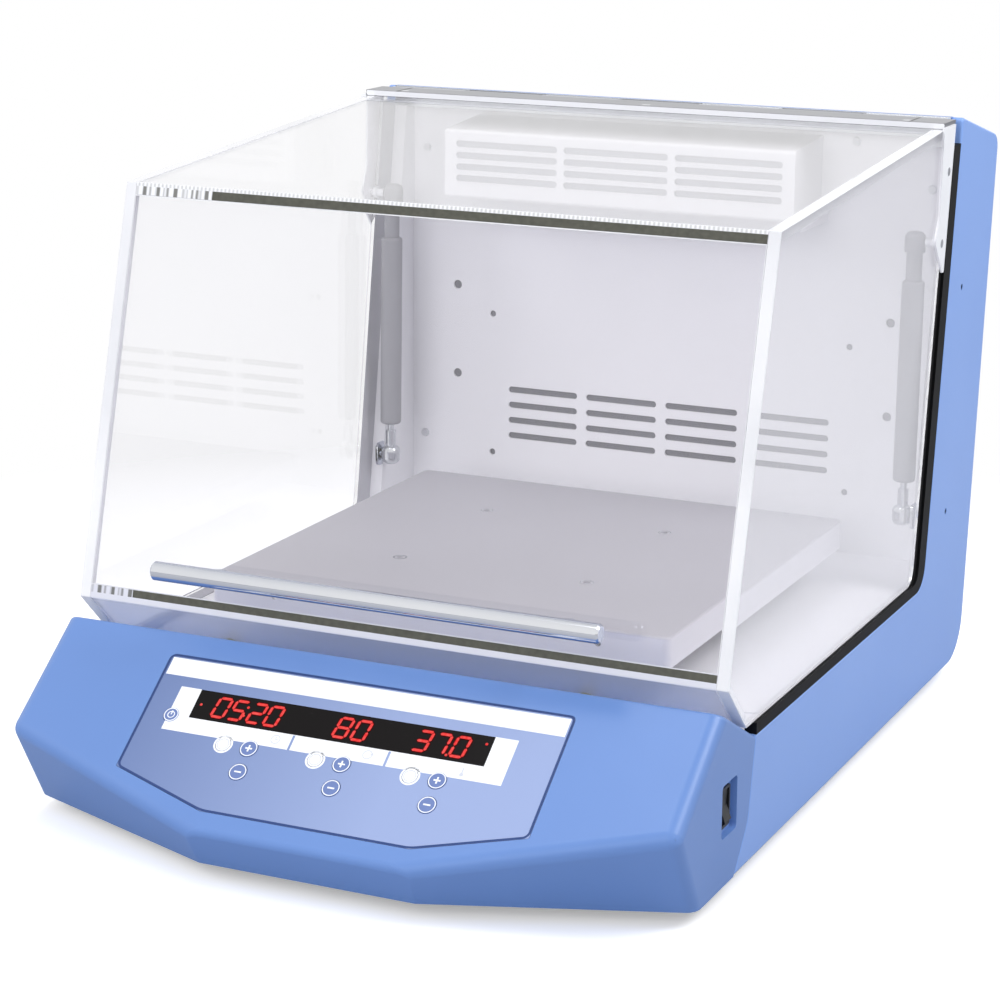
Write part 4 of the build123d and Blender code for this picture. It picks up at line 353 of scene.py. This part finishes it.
top_bond = bonded_edge("bonded_top_edge", 393.2, 399.6, -164.0, "#E9EAEE")
low_bond = bonded_edge("bonded_lower_edge", 136.6, 141.4, -190.0, "#D5D6E0")
print("edge finishes made")

# %% [markdown]
# ## Membrane film
# The membrane is polycarbonate film printed from behind, so its colours are even and its face is
# matt. Each printed colour could be an area of one image, but flat colours and one smooth gradient
# need none. The field goes from slate blue on the left to periwinkle on the right, a painted sheen
# that lightens the print toward the right.


# %% Films
def printed_film(name, hex_colour):
    """Film with one printed colour and a fine matt texture."""
    made, tree = bare_material(name)
    place = add(tree, "TexCoord").outputs["Object"]
    grain = add(tree, "TexNoise", {"Vector": place, "Scale": 1 / (0.5 * MM), "Detail": 1.0})
    skin = add(tree, "Bump", {"Height": grain.outputs["Fac"], "Strength": 0.2,
                              "Distance": 0.005 * MM})
    film = add(tree, "BsdfPrincipled", {"Base Color": paint(hex_colour), "Roughness": 0.4,
                                        "Normal": skin.outputs["Normal"]})
    add(tree, "OutputMaterial", {"Surface": film.outputs["BSDF"]})
    return made


def sheen_painted_film(name, left, right, sheen_from, sheen_to):
    """Film that goes from one colour on the left to another on the right, a painted sheen."""
    made, tree = bare_material(name)
    place = add(tree, "SeparateXYZ", {"Vector": add(tree, "TexCoord").outputs["Object"]})
    across = add(tree, "MapRange", {"Value": place.outputs["X"], "From Min": sheen_from * MM,
                                    "From Max": sheen_to * MM})
    tone = add(tree, "Mix", {"Factor": across.outputs["Result"], FIRST: paint(left),
                             SECOND: paint(right)}, data_type="RGBA")
    film = add(tree, "BsdfPrincipled", {"Base Color": tone.outputs[MIXED], "Roughness": 0.4})
    add(tree, "OutputMaterial", {"Surface": film.outputs["BSDF"]})
    return made


# The lighter right end of the field is a painted sheen.
field_film = sheen_painted_film("membrane_film", "#667AA8", "#90A1CB", -143.0, 42.9)
white_film = printed_film("white_print", "#EEF1F6")
line_film = printed_film("navy_print", "#1D3A72")
key_film = printed_film("slate_print", "#667AAE")
grey_film = printed_film("pale_grey_print", "#C9CEDA")
print("films made")

# %% [markdown]
# ## Display window and its light
# The window is smoked plastic in front of red light-emitting segments. Behind glass they could be
# real lamps, but a few thin plates that give off light are enough and throw no stray red. A patchy
# noise stands for the diffuser over the lamps, and a darker copy for the light that spills round.


# %% Window and lit segments
def light_segment(name, edge, core):
    """A lit segment, with the uneven glow of a diffuser over its lamps."""
    made, tree = bare_material(name)
    place = add(tree, "TexCoord").outputs["Object"]
    patch = add(tree, "TexNoise", {"Vector": place, "Scale": 1 / (1.6 * MM), "Detail": 0.0})
    tone = add(tree, "Mix", {"Factor": patch.outputs["Fac"], FIRST: paint(edge),
                             SECOND: paint(core)}, data_type="RGBA")
    lamp = add(tree, "Emission", {"Color": tone.outputs[MIXED], "Strength": 1.0})
    add(tree, "OutputMaterial", {"Surface": lamp.outputs["Emission"]})
    return made


window_gloss = surface("smoked_window", "#070405", "#0B0708", 0.5, 0.002,
                       Roughness=0.2, **{"Specular IOR Level": 0.15})
led_red = light_segment("red_light_segment", "#F01E22", "#FF6A66")
led_halo = light_segment("red_light_spill", "#3A0708", "#5A0C0E")
print("window and lights made")

# %% [markdown]
# ## Finishes on the CAD pieces
# Most solids already have the right shape, so a copy of each would gain nothing. Each gets its
# finish by setting its material slots, and nothing is moved.

# %% Dress the CAD nodes
finishes = {
    blue_coat: ["side_panel_left", "side_panel_right", "rear_cover"],
    console_coat: ["console"],
    chamber_coat: ["ledge_plate", "chamber_floor", "chamber_wall_left", "chamber_wall_right",
                   "back_wall", "heater_box"],
    platform_coat: ["platform_tray", "platform_inserts"],
    bracket_coat: ["hood_brackets"],
    spring_enamel: ["spring_tube_left", "spring_tube_right"],
    pan_coat: ["base_pan"],
    chrome: ["handle_rod", "handle_posts", "lower_studs"],
    dark_steel: ["housing_screws"],
    bright_steel: ["hood_screws", "hinge_rail", "drive_shaft", "guide_crank_1", "guide_crank_2",
                   "spring_rod_left", "spring_rod_right", "data_sockets"],
    bar_metal: ["hinge_bar", "fan_rotor"],
    cast_metal: ["bearing_housing", "platform_carrier"],
    heater_metal: ["heater_element"],
    hose_brass: ["coolant_nozzles"],
    seal_rubber: ["hood_seals", "feet"],
    bumper_rubber: ["bumpers"],
    switch_plastic: ["rocker_housing", "rocker", "motor", "fan_motor", "mains_inlet"],
    board_laminate: ["display_board"],
    field_film: ["membrane"],
    window_gloss: ["display_window"],
}
keys = sorted(name for name in nodes if name.startswith("key_"))
finishes[key_film] = [name for name in keys if not name.endswith("select")]
finishes[white_film] = [name for name in keys if name.endswith("select")]
for material, names in finishes.items():
    for name in names:
        nodes[name].data.materials.clear()
        nodes[name].data.materials.append(material)
print("dressed", sum(len(names) for names in finishes.values()), "nodes")

# %% [markdown]
# ## Plates, rings and outlines
# Printed ink, trim and filter mats are all thin layers with an outline. A layer could be a flat
# face floating over the panel, but a real thickness gives it an edge and exports cleanly. So each
# starts as a flat face, in millimetres, and is pulled up. A ring is a disc whose middle is inset
# and removed first.


# %% Plate helpers
def lift(bm, faces, height):
    """Pulls flat faces up into a layer."""
    pulled = bmesh.ops.extrude_face_region(bm, geom=faces)["geom"]
    moved = [part for part in pulled if isinstance(part, bmesh.types.BMVert)]
    bmesh.ops.translate(bm, verts=moved, vec=(0, 0, height))


def rectangle(left, low, right, high):
    """The four corners of an upright rectangle."""
    return [(left, low), (right, low), (right, high), (left, high)]


def plate(bm, outline, low, high):
    """A thin plate with a flat outline, between two heights."""
    lift(bm, [bm.faces.new([bm.verts.new((x, y, low)) for x, y in outline])], high - low)


def disc(bm, x, y, radius, low, high, hole=0.0, steps=40):
    """A thin disc, or a ring where it has a hole."""
    made = bmesh.ops.create_circle(bm, cap_ends=True, radius=radius, segments=steps,
                                   matrix=Matrix.Translation((x, y, low)))
    faces = [made["verts"][0].link_faces[0]]
    if hole:
        middle = faces[0]
        bmesh.ops.inset_individual(bm, faces=[middle], thickness=radius - hole)
        near = {face for vert in made["verts"] for face in vert.link_faces}
        faces = [face for face in near if face is not middle]
        bmesh.ops.delete(bm, geom=[middle], context="FACES_ONLY")
    lift(bm, faces, high - low)


def rounded(points, radii, steps=8):
    """An outline whose corners at some places are replaced by arcs."""
    result = []
    for place, point in enumerate(points):
        here = Vector(point)
        if place not in radii:
            result.append(here)
            continue
        before = (Vector(points[place - 1]) - here).normalized()
        after = (Vector(points[(place + 1) % len(points)]) - here).normalized()
        opening = before.angle(after) / 2
        reach = radii[place] / sin(opening)
        centre = here + (before + after).normalized() * reach
        start = (here + before * reach * cos(opening) - centre).normalized()
        end = (here + after * reach * cos(opening) - centre).normalized()
        result += [centre + start.slerp(end, n / steps) * radii[place] for n in range(steps + 1)]
    return result


print("plate helpers ready")

# %% [markdown]
# ## From a flat drawing to a piece
# Everything on the console is drawn flat, with x across and y measured up the slope from the ridge.
# Objects could be turned and moved into place, but a piece here keeps its place in its mesh, so
# that patterns and the export find it. One matrix lays the drawing on the slope, others stand it up
# against a wall, and the piece then rides on the body that carries it.

# %% Laying and settling
SLOPE = radians(37.9)
RIDGE_Y, RIDGE_Z = -229.0, 122.7
panel_matrix = Matrix.Translation((0, RIDGE_Y, RIDGE_Z)) @ Matrix.Rotation(SLOPE, 4, "X")
wall_matrix = Matrix(((1, 0, 0, 0), (0, 0, 1, 0), (0, 1, 0, 0), (0, 0, 0, 1)))
side_matrix = Matrix(((0, 0, 1, 0), (1, 0, 0, 0), (0, 1, 0, 0), (0, 0, 0, 1)))


def settle(bm, name, body, materials, matrix=Matrix.Identity(4)):
    """Turns a drawing in millimetres into a named piece in the shared frame, on a body."""
    bmesh.ops.transform(bm, matrix=Matrix.Scale(MM, 4) @ matrix, verts=bm.verts)
    bmesh.ops.recalc_face_normals(bm, faces=bm.faces)
    mesh = bpy.data.meshes.new(name)
    for face in bm.faces:
        face.smooth = False
    bm.to_mesh(mesh)
    bm.free()
    for material in materials:
        mesh.materials.append(material)
    piece = bpy.data.objects.new(name, mesh)
    bpy.context.scene.collection.objects.link(piece)
    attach(piece, body)
    return piece


print("panel slopes", round(SLOPE, 3), "radians")

# %% [markdown]
# ## Print on the membrane
# A white band runs along the top, a white field goes round the display, and a navy line round the
# whole overlay. A curve with a bevel could draw the line, but it would have to be traced again. It
# follows the overlay's corners, so it is inset from the same outline.

# %% Band and field
INK = 0.06
BAND_LEFT, BAND_RIGHT, BAND_LOW, BAND_HIGH = -140.5, 140.5, -32.6, -19.4
FIELD_LEFT, FIELD_RIGHT, FIELD_LOW, FIELD_HIGH = -125.0, 113.0, -73.3, -40.2
WINDOW_LEFT, WINDOW_RIGHT, WINDOW_LOW = -110.0, 97.5, -62.0
print_bm = bmesh.new()
for outline in (
    rectangle(BAND_LEFT, BAND_LOW, BAND_RIGHT, BAND_HIGH),
    rectangle(FIELD_LEFT, FIELD_LOW, WINDOW_LEFT, FIELD_HIGH),
    rectangle(WINDOW_RIGHT, FIELD_LOW, FIELD_RIGHT, FIELD_HIGH),
    rectangle(WINDOW_LEFT, FIELD_LOW, WINDOW_RIGHT, WINDOW_LOW),
):
    plate(print_bm, outline, 0, INK)
band = settle(print_bm, "membrane_white_print", "housing", [white_film], panel_matrix)
print("band and field", len(band.data.polygons), "faces")

# %% Navy outline
OVERLAY = [(-143, -17), (143, -17), (143, -105), (72.5, -126), (-72.5, -126), (-143, -105)]
CORNER_RADIUS, LINE_WIDTH = 4.0, 1.5
line_bm = bmesh.new()
whole_face = line_bm.faces.new([line_bm.verts.new((x, y, 0)) for x, y in OVERLAY])
bmesh.ops.bevel(line_bm, geom=whole_face.verts[:], affect="VERTICES", offset=CORNER_RADIUS,
                segments=5, profile=0.5, material=-1)
whole_face = max(line_bm.faces, key=lambda face: face.calc_area())
bmesh.ops.inset_individual(line_bm, faces=[whole_face], thickness=LINE_WIDTH)
bmesh.ops.delete(line_bm, geom=[whole_face], context="FACES_ONLY")
lift(line_bm, line_bm.faces[:], INK)
outline_line = settle(line_bm, "membrane_outline", "housing", [line_film], panel_matrix)
print("outline", len(outline_line.data.polygons), "faces")

# %% Dividers between the three groups
DIVIDER_HALF = 0.8
divider_bm = bmesh.new()
for x in (-33.0, 34.0):
    plate(divider_bm, rectangle(x - DIVIDER_HALF, FIELD_LOW, x + DIVIDER_HALF, -62.5), INK, 2 * INK)
dividers = settle(divider_bm, "membrane_dividers", "housing", [field_film], panel_matrix)
print("dividers", len(dividers.data.polygons), "faces")

# %% [markdown]
# ## Red numbers
# Three groups of seven-segment digits show time, speed and temperature. A font would give round
# shapes that no such display has. Here a segment is a flat six-sided bar with pointed ends, and a
# digit is a choice of seven bars, leaned to the right. A wider, darker bar under each is its glow.

# %% Display digits
DIGIT_WIDTH, DIGIT_HEIGHT, BAR, GLOW = 8.6, 14.2, 1.9, 1.3
LEAN, TIP = 0.13, 0.25
DIGIT_FOOT, DOT_RADIUS = -58.4, 0.95
SEGMENTS = {"0": "abcdef", "2": "abged", "3": "abgcd", "5": "afgcd", "7": "abc", "8": "abcdefg"}
half = DIGIT_HEIGHT / 2
BARS = {
    "a": ((0, DIGIT_HEIGHT), (DIGIT_WIDTH, DIGIT_HEIGHT)),
    "b": ((DIGIT_WIDTH, half), (DIGIT_WIDTH, DIGIT_HEIGHT)),
    "c": ((DIGIT_WIDTH, 0), (DIGIT_WIDTH, half)),
    "d": ((0, 0), (DIGIT_WIDTH, 0)),
    "e": ((0, 0), (0, half)),
    "f": ((0, half), (0, DIGIT_HEIGHT)),
    "g": ((0, half), (DIGIT_WIDTH, half)),
}
TIME_DIGITS = ((-95.6, "0"), (-83.4, "5"), (-70.0, "2"), (-57.8, "0"))
SPEED_DIGITS = ((-8.4, "8"), (4.4, "0"))
HEAT_DIGITS = ((46.9, "3"), (59.4, "7"), (72.4, "0"))
COLON, POINT = ((-72.4, -48.0), (-73.2, -54.4)), ((70.6, -58.4),)
SIGNAL_DOTS = ((-105.5, -51.3), (93.6, -46.3))


def light_bar(bm, left, start, end, width, low):
    """One pointed segment of a digit whose left edge is at left."""
    start, end = Vector(start), Vector(end)
    along = (end - start).normalized()
    side = Vector((-along.y, along.x)) * width / 2
    tip, shoulder = along * (TIP + (BAR - width) / 2), along * (TIP + BAR / 2)
    shape = [start + tip, start + shoulder - side, end - shoulder - side, end - tip,
             end - shoulder + side, start + shoulder + side]
    plate(bm, [(left + p.x + LEAN * p.y, DIGIT_FOOT + p.y) for p in shape], low, low + INK)


digit_bm, halo_bm = bmesh.new(), bmesh.new()
for left, sign in TIME_DIGITS + SPEED_DIGITS + HEAT_DIGITS:
    for letter in SEGMENTS[sign]:
        light_bar(digit_bm, left, *BARS[letter], BAR, 2 * INK)
        light_bar(halo_bm, left, *BARS[letter], BAR + GLOW, INK)
for x, y in COLON + POINT + SIGNAL_DOTS:
    disc(digit_bm, x, y, DOT_RADIUS, 2 * INK, 3 * INK, steps=16)
settle(digit_bm, "display_digits", "housing", [led_red], panel_matrix)
settle(halo_bm, "display_glow", "housing", [led_halo], panel_matrix)
print("digits lit", len(TIME_DIGITS + SPEED_DIGITS + HEAT_DIGITS))

# %% [markdown]
# ## Key legends
# Each key is a slightly raised dome under the film with a ring printed on it. Plus and minus signs
# mark the two keys that change a value. They could be painted on by a shader, but signs this small
# would need a very fine pattern. As thin plates they ride on their keys and go down with them.

# %% Rings and signs on the keys
KEY_TOP = 0.3
SELECT_RADIUS, VALUE_RADIUS, POWER_RADIUS = 5.0, 6.0, 5.3
GROUP_STEP = 65.6
SIGN_REACH, SIGN_HALF = 2.4, 0.55
legend_top = KEY_TOP + INK
key_places = {"key_power": (-122.7, 62.1, POWER_RADIUS)}
for n, group in enumerate(("time", "speed", "heat")):
    key_places[f"key_{group}_select"] = (-77.8 + n * GROUP_STEP, 77.0, SELECT_RADIUS)
    key_places[f"key_{group}_plus"] = (-59.3 + n * GROUP_STEP, 77.0, VALUE_RADIUS)
    key_places[f"key_{group}_minus"] = (-59.3 + n * GROUP_STEP, 94.7, VALUE_RADIUS)
for name, (x, down, radius) in key_places.items():
    y = -down
    select = name.endswith("select")
    margin, width = (0.9, 0.5) if select else (0.3, 0.65)
    legend_bm = bmesh.new()
    disc(legend_bm, x, y, radius - margin, KEY_TOP, legend_top, hole=radius - margin - width)
    if name.endswith(("plus", "minus")):
        plate(legend_bm, rectangle(x - SIGN_REACH, y - SIGN_HALF, x + SIGN_REACH, y + SIGN_HALF),
              KEY_TOP, legend_top)
    if name.endswith("plus"):
        plate(legend_bm, rectangle(x - SIGN_HALF, y - SIGN_REACH, x + SIGN_HALF, y + SIGN_REACH),
              KEY_TOP, legend_top + INK)
    if name == "key_power":
        disc(legend_bm, x, y, 2.6, KEY_TOP, legend_top, hole=2.0)
        plate(legend_bm, rectangle(x - 0.35, y, x + 0.35, y + 3.0), KEY_TOP, legend_top + INK)
    legend_film = grey_film if select else white_film
    settle(legend_bm, "legend_" + name[4:], name, [legend_film], panel_matrix)
print("legends on", len(key_places), "keys")

# %% [markdown]
# ## Rings round the select keys
# The white select keys have a second ring outside, which is printed on the film and stays put when
# a key goes down. So it is a piece of its own that rides on the housing and not on the key.

# %% Rings on the film
RING_INSIDE, RING_OUTSIDE = 0.35, 1.6
ring_bm = bmesh.new()
for name, (x, down, radius) in key_places.items():
    if name.endswith("select"):
        disc(ring_bm, x, -down, radius + RING_OUTSIDE, 0, INK, hole=radius + RING_INSIDE)
rings = settle(ring_bm, "select_key_rings", "housing", [white_film], panel_matrix)
print("rings", len(rings.data.polygons), "faces")

# %% [markdown]
# ## Small signs under the display
# A clock face, a turning mark and a thermometer in pale grey tell the three groups apart. They are
# generic signs a few millimetres high, so rings and short bars are enough to read as them.

# %% Clock, turn and thermometer signs
SIGN_RING, SIGN_HOLE = 3.3, 2.7
sign_bm = bmesh.new()
disc(sign_bm, -44.4, -67.4, SIGN_RING, INK, 2 * INK, hole=SIGN_HOLE)
plate(sign_bm, rectangle(-44.65, -67.6, -44.15, -65.4), INK, 2 * INK)
plate(sign_bm, rectangle(-44.65, -67.6, -42.7, -67.1), INK, 3 * INK)
disc(sign_bm, 20.3, -67.3, SIGN_RING, INK, 2 * INK, hole=SIGN_HOLE)
plate(sign_bm, [(22.0, -67.2), (24.6, -67.2), (23.3, -65.4)], INK, 3 * INK)
disc(sign_bm, 85.4, -70.2, 1.3, INK, 2 * INK)
plate(sign_bm, rectangle(85.0, -70.0, 85.8, -65.4), INK, 3 * INK)
signs = settle(sign_bm, "group_signs", "housing", [grey_film], panel_matrix)
print("signs", len(signs.data.polygons), "faces")

# %% [markdown]
# ## The hood
# The five CAD panels touch where they are bonded. Two clear solids that share a face confuse the
# renderer, so each panel is copied, merged and made a hair smaller about its middle. Its edges are
# eased as a sander leaves them, because a perfectly sharp edge catches no light. Broad faces stay
# clear, and the sawn edges get the milky finish or the bonded one.


# %% Hood panels
SHRINK, EASE = 0.9994, 0.5
SHARP, FLAT_ENOUGH = radians(20), radians(1.0)


def hood_pane(node_name, body_finish=acrylic, front_finish=edge_white):
    """A clear copy of one hood panel, with eased edges that are milky in front and on top."""
    source = nodes[node_name]
    bm = bmesh.new()
    bm.from_mesh(source.data)
    bmesh.ops.remove_doubles(bm, verts=bm.verts, dist=1e-6)
    bmesh.ops.dissolve_limit(bm, angle_limit=FLAT_ENOUGH, verts=bm.verts, edges=bm.edges)
    low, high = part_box(node_name)
    bmesh.ops.scale(bm, vec=(SHRINK,) * 3, space=Matrix.Translation(-(low + high) / 2),
                    verts=bm.verts)
    broad_normal = max(bm.faces, key=lambda face: face.calc_area()).normal.copy()
    sharp = [e for e in bm.edges if len(e.link_faces) == 2 and e.calc_face_angle() > SHARP]
    bmesh.ops.bevel(bm, geom=sharp, affect="EDGES", offset=EASE * MM, segments=2, profile=0.5,
                    material=-1)
    for face in bm.faces:
        facing = face.normal
        lit = facing.y < -0.3 or facing.z > 0.3 or abs(facing.x) > 0.5
        if lit and abs(facing.dot(broad_normal)) < 0.999:
            face.material_index = 2 if facing.y < -0.6 else 1
    # A drawing for settle() is in millimetres.
    bmesh.ops.transform(bm, matrix=Matrix.Scale(1 / MM, 4), verts=bm.verts)
    pane_finishes = [body_finish, edge_white, front_finish]
    pane = settle(bm, "pane_" + node_name[5:], "hood", pane_finishes)
    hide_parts(node_name)
    print(pane.name, len(pane.data.polygons), "faces")


hood_pane("hood_top", front_finish=top_bond)
hood_pane("hood_front")
hood_pane("hood_lower", hazed_acrylic, low_bond)
hood_pane("hood_left")
hood_pane("hood_right", wiped_acrylic)

# %% [markdown]
# ## Seal carriers
# The seals sit in enamelled carriers, whose inner face shows through the hood as a thin pale band
# down each upright and along the ledge. A swept curve would follow that path too, but its corners
# need arcs of two different radii, so the band is drawn as one flat outline and pulled up.


# %% Carriers
TOP_Z, TOP_FRONT_Y, UPRIGHT_LEAN = 430.0, 239.5, tan(radians(8.5))
CARRIER_FRONT_Y, CARRIER_LOW, CARRIER_LEDGE, CARRIER_HIGH = -168.0, 92.4, 98.8, 411.0
CARRIER_WIDTH, OUTER_BEND, INNER_BEND = 23.6, 19.0, 15.0
CARRIER_INSIDE, CARRIER_OUTSIDE = 224.25, 224.45


def upright_front(z):
    """Y of the front edge of an upright at height z."""
    return TOP_FRONT_Y - (TOP_Z - z) * UPRIGHT_LEAN


carrier = rounded([
    (CARRIER_FRONT_Y, CARRIER_LOW),
    (upright_front(CARRIER_LOW), CARRIER_LOW),
    (upright_front(CARRIER_HIGH), CARRIER_HIGH),
    (upright_front(CARRIER_HIGH) - CARRIER_WIDTH, CARRIER_HIGH),
    (upright_front(CARRIER_LEDGE) - CARRIER_WIDTH, CARRIER_LEDGE),
    (CARRIER_FRONT_Y, CARRIER_LEDGE),
], {1: OUTER_BEND, 4: INNER_BEND})
carrier_bm = bmesh.new()
plate(carrier_bm, carrier, CARRIER_INSIDE, CARRIER_OUTSIDE)
plate(carrier_bm, carrier, -CARRIER_OUTSIDE, -CARRIER_INSIDE)
carriers = settle(carrier_bm, "seal_carriers", "housing", [carrier_enamel], side_matrix)
print("carriers", len(carriers.data.polygons), "faces")

# %% [markdown]
# ## Filter mats
# A grey mat lies behind the vents of the back wall and a pale one behind those of the heater box,
# so no one looks into the machine. A real mat is a tangle of fibres. Behind narrow slots only its
# dull, rough skin shows, so a thin plate with a strong coarse bump is enough.

# %% Mats behind the vents
filter_mat = surface("grey_filter_fleece", "#77777C", "#8A8A90", 0.9, 0.25, Roughness=0.9)
box_fleece = surface("pale_filter_fleece", "#B4B5BB", "#C2C3C9", 0.9, 0.25, Roughness=0.9)
for name, outline, corner, near, far, fleece in (
    ("vent_filter_mat", rectangle(-195, 125, 195, 290), 6, 251.7, 253.2, filter_mat),
    ("box_filter_mat", rectangle(-155, 348, 121.5, 396), 3, 190.1, 191.2, box_fleece),
):
    mat_bm = bmesh.new()
    plate(mat_bm, rounded(outline, dict.fromkeys(range(4), corner)), near, far)
    settle(mat_bm, name, "housing", [fleece], wall_matrix)
    print(name, "laid")

# %% [markdown]
# ## Bright rims in the platform
# Four threaded inserts are pressed into the platform, and wear keeps the rim of each one bright.
# The CAD insert has one finish, so a hair-thin steel ring lies on it and circles with the platform.

# %% Insert rims
INSERT_PLACES = ((-70.5, -57.0), (70.5, -57.0), (-70.5, 84.0), (70.5, 84.0))
INSERT_RADIUS, INSERT_HOLE, PLATFORM_TOP, RIM_THICKNESS = 4.9, 3.9, 139.0, 0.12
insert_bm = bmesh.new()
for x, y in INSERT_PLACES:
    disc(insert_bm, x, y, INSERT_RADIUS, PLATFORM_TOP, PLATFORM_TOP + RIM_THICKNESS,
         hole=INSERT_HOLE)
rims = settle(insert_bm, "insert_rims", "platform", [bright_steel])
print("rims", len(INSERT_PLACES))

# %% [markdown]
# ## Trims of the hinge bar
# The hinge bar has a white front lip, and a dark joint near each end where its end pieces are
# screwed on. Cutting real joints would change the CAD bar, so thin strips are laid on it.

# %% Lip and joints
BAR_LOW, BAR_HIGH, BAR_END, LIP_NEAR, LIP_FAR = 425.7, 429.5, 230.2, 198.75, 198.98
JOINT_X, JOINT_HALF, JOINT_NEAR, JOINT_FAR = 204.5, 0.6, 199.2, 225.8
JOINT_LOW, JOINT_HIGH = 429.81, 429.9
lip_bm = bmesh.new()
plate(lip_bm, rounded(rectangle(-BAR_END, BAR_LOW, BAR_END, BAR_HIGH),
                      dict.fromkeys(range(4), 1)), LIP_NEAR, LIP_FAR)
settle(lip_bm, "hinge_bar_lip", "hood", [bracket_coat], wall_matrix)
joint_bm = bmesh.new()
for x in (-JOINT_X, JOINT_X):
    strip = rectangle(x - JOINT_HALF, JOINT_NEAR, x + JOINT_HALF, JOINT_FAR)
    plate(joint_bm, rounded(strip, {0: 0.4, 1: 0.4}), JOINT_LOW, JOINT_HIGH)
settle(joint_bm, "hinge_bar_joints", "hood", [switch_plastic])
print("hinge bar trimmed")

# %% [markdown]
# ## The room
# An even pale room gives most of the light, as a photographer's tent does. It has to look white to
# the camera, to mirrors and through the acrylic, but light the object less than a white room would.
# So Light Path picks a brighter backdrop for the rays that see it than for those that light.

# %% World
ROOM_LIGHT = 0.62
world = bpy.data.worlds.new("pale_room")
bpy.context.scene.world = world
world.use_nodes = True
room_tree = world.node_tree
room_tree.nodes.clear()
ray = add(room_tree, "LightPath")
seen = add(room_tree, "Math", {0: ray.outputs["Is Camera Ray"], 1: ray.outputs["Is Glossy Ray"]},
           operation="MAXIMUM")
seen = add(room_tree, "Math", {0: seen.outputs["Value"], 1: ray.outputs["Is Transmission Ray"]},
           operation="MAXIMUM")
lighting = add(room_tree, "Background", {"Color": paint("#FAFAFC"), "Strength": ROOM_LIGHT})
backdrop = add(room_tree, "Background", {"Color": (1, 1, 1, 1), "Strength": 1.0})
room = add(room_tree, "MixShader", {0: seen.outputs["Value"], 1: lighting.outputs["Background"],
                                    2: backdrop.outputs["Background"]})
add(room_tree, "OutputWorld", {"Surface": room.outputs["Shader"]})
print("room light", ROOM_LIGHT)

# %% [markdown]
# ## Five lamps
# A small lamp overhead and a larger one on the right give the soft shadows and highlights. Three
# wide fills, on the left, behind and in front, open up what would stay dark under the hood. All are
# discs, whose soft edge suits a photographer's umbrella. The fills are hidden from mirrors and from
# clear plastic, because their discs would otherwise hang in the hood's front.

# %% Lamps
AIM = Vector((0, 0, 0.2))
for name, place, size, power in (
    ("overhead_lamp", (-0.35, -0.5, 2.1), 0.5, 3.0),
    ("right_lamp", (1.3, 0.25, 1.45), 1.1, 19.0),
    ("left_fill", (-2.2, -1.0, 1.4), 1.6, 18.0),
    ("back_fill", (-0.6, 2.7, 1.3), 1.6, 16.0),
    ("front_fill", (0.0, -2.6, 1.1), 1.8, 32.0),
):
    lamp = bpy.data.lights.new(name, "AREA")
    lamp.shape, lamp.size, lamp.energy = "DISK", size, power
    lamp_object = bpy.data.objects.new(name, lamp)
    lamp_object.location = place
    mirrored = not name.endswith("fill")
    lamp_object.visible_glossy = lamp_object.visible_transmission = mirrored
    lamp_object.rotation_euler = (AIM - Vector(place)).to_track_quat("-Z", "Y").to_euler()
    bpy.context.scene.collection.objects.link(lamp_object)
    print(name, power, "W")

# %% [markdown]
# ## The floor
# A sheet of white paper carries the object's shadow and then fades into the white backdrop, as a
# curved studio sheet does. The paper is kept lit near the object with a little glow of its own and
# turns to pure white further out. Paper that white would also throw too much light under the
# object, so the rays that light other things meet a greyer sheet.

# %% Floor
FLOOR_HALF, PAPER_GLOW = 30.0, 0.3
FADE_FROM, FADE_TO = 0.4, 0.9
floor_bm = bmesh.new()
bmesh.ops.create_grid(floor_bm, x_segments=1, y_segments=1, size=FLOOR_HALF)
floor_mesh = bpy.data.meshes.new("pale_floor")
floor_bm.to_mesh(floor_mesh)
floor_bm.free()
floor_material, floor_tree = bare_material("pale_floor_paper")
paper = add(floor_tree, "BsdfPrincipled", {"Base Color": paint("#FAFAFB"), "Roughness": 0.9,
                                           "Specular IOR Level": 0.1})
glow = add(floor_tree, "Emission", {"Color": (1, 1, 1, 1), "Strength": PAPER_GLOW})
lit_paper = add(floor_tree, "AddShader", {0: paper.outputs["BSDF"], 1: glow.outputs["Emission"]})
white = add(floor_tree, "Emission", {"Color": (1, 1, 1, 1), "Strength": 1.0})
reach = add(floor_tree, "VectorMath", {0: add(floor_tree, "TexCoord").outputs["Object"]},
            operation="LENGTH")
fade = add(floor_tree, "MapRange", {"Value": reach.outputs["Value"], "From Min": FADE_FROM,
                                    "From Max": FADE_TO})
seen_floor = add(floor_tree, "MixShader", {0: fade.outputs["Result"],
                                           1: lit_paper.outputs["Shader"],
                                           2: white.outputs["Emission"]})
bounce = add(floor_tree, "BsdfPrincipled", {"Base Color": paint("#B9BBC1"), "Roughness": 0.9})
floor_ray = add(floor_tree, "LightPath")
direct = add(floor_tree, "Math", {0: floor_ray.outputs["Is Camera Ray"],
                                  1: floor_ray.outputs["Is Transmission Ray"]},
             operation="MAXIMUM")
both = add(floor_tree, "MixShader", {0: direct.outputs["Value"], 1: bounce.outputs["BSDF"],
                                     2: seen_floor.outputs["Shader"]})
add(floor_tree, "OutputMaterial", {"Surface": both.outputs["Shader"]})
floor_mesh.materials.append(floor_material)
floor = bpy.data.objects.new("pale_floor", floor_mesh)
bpy.context.scene.collection.objects.link(floor)
bpy.context.scene.view_settings.view_transform = "Standard"
print("floor fades to white from", FADE_FROM, "to", FADE_TO, "m")
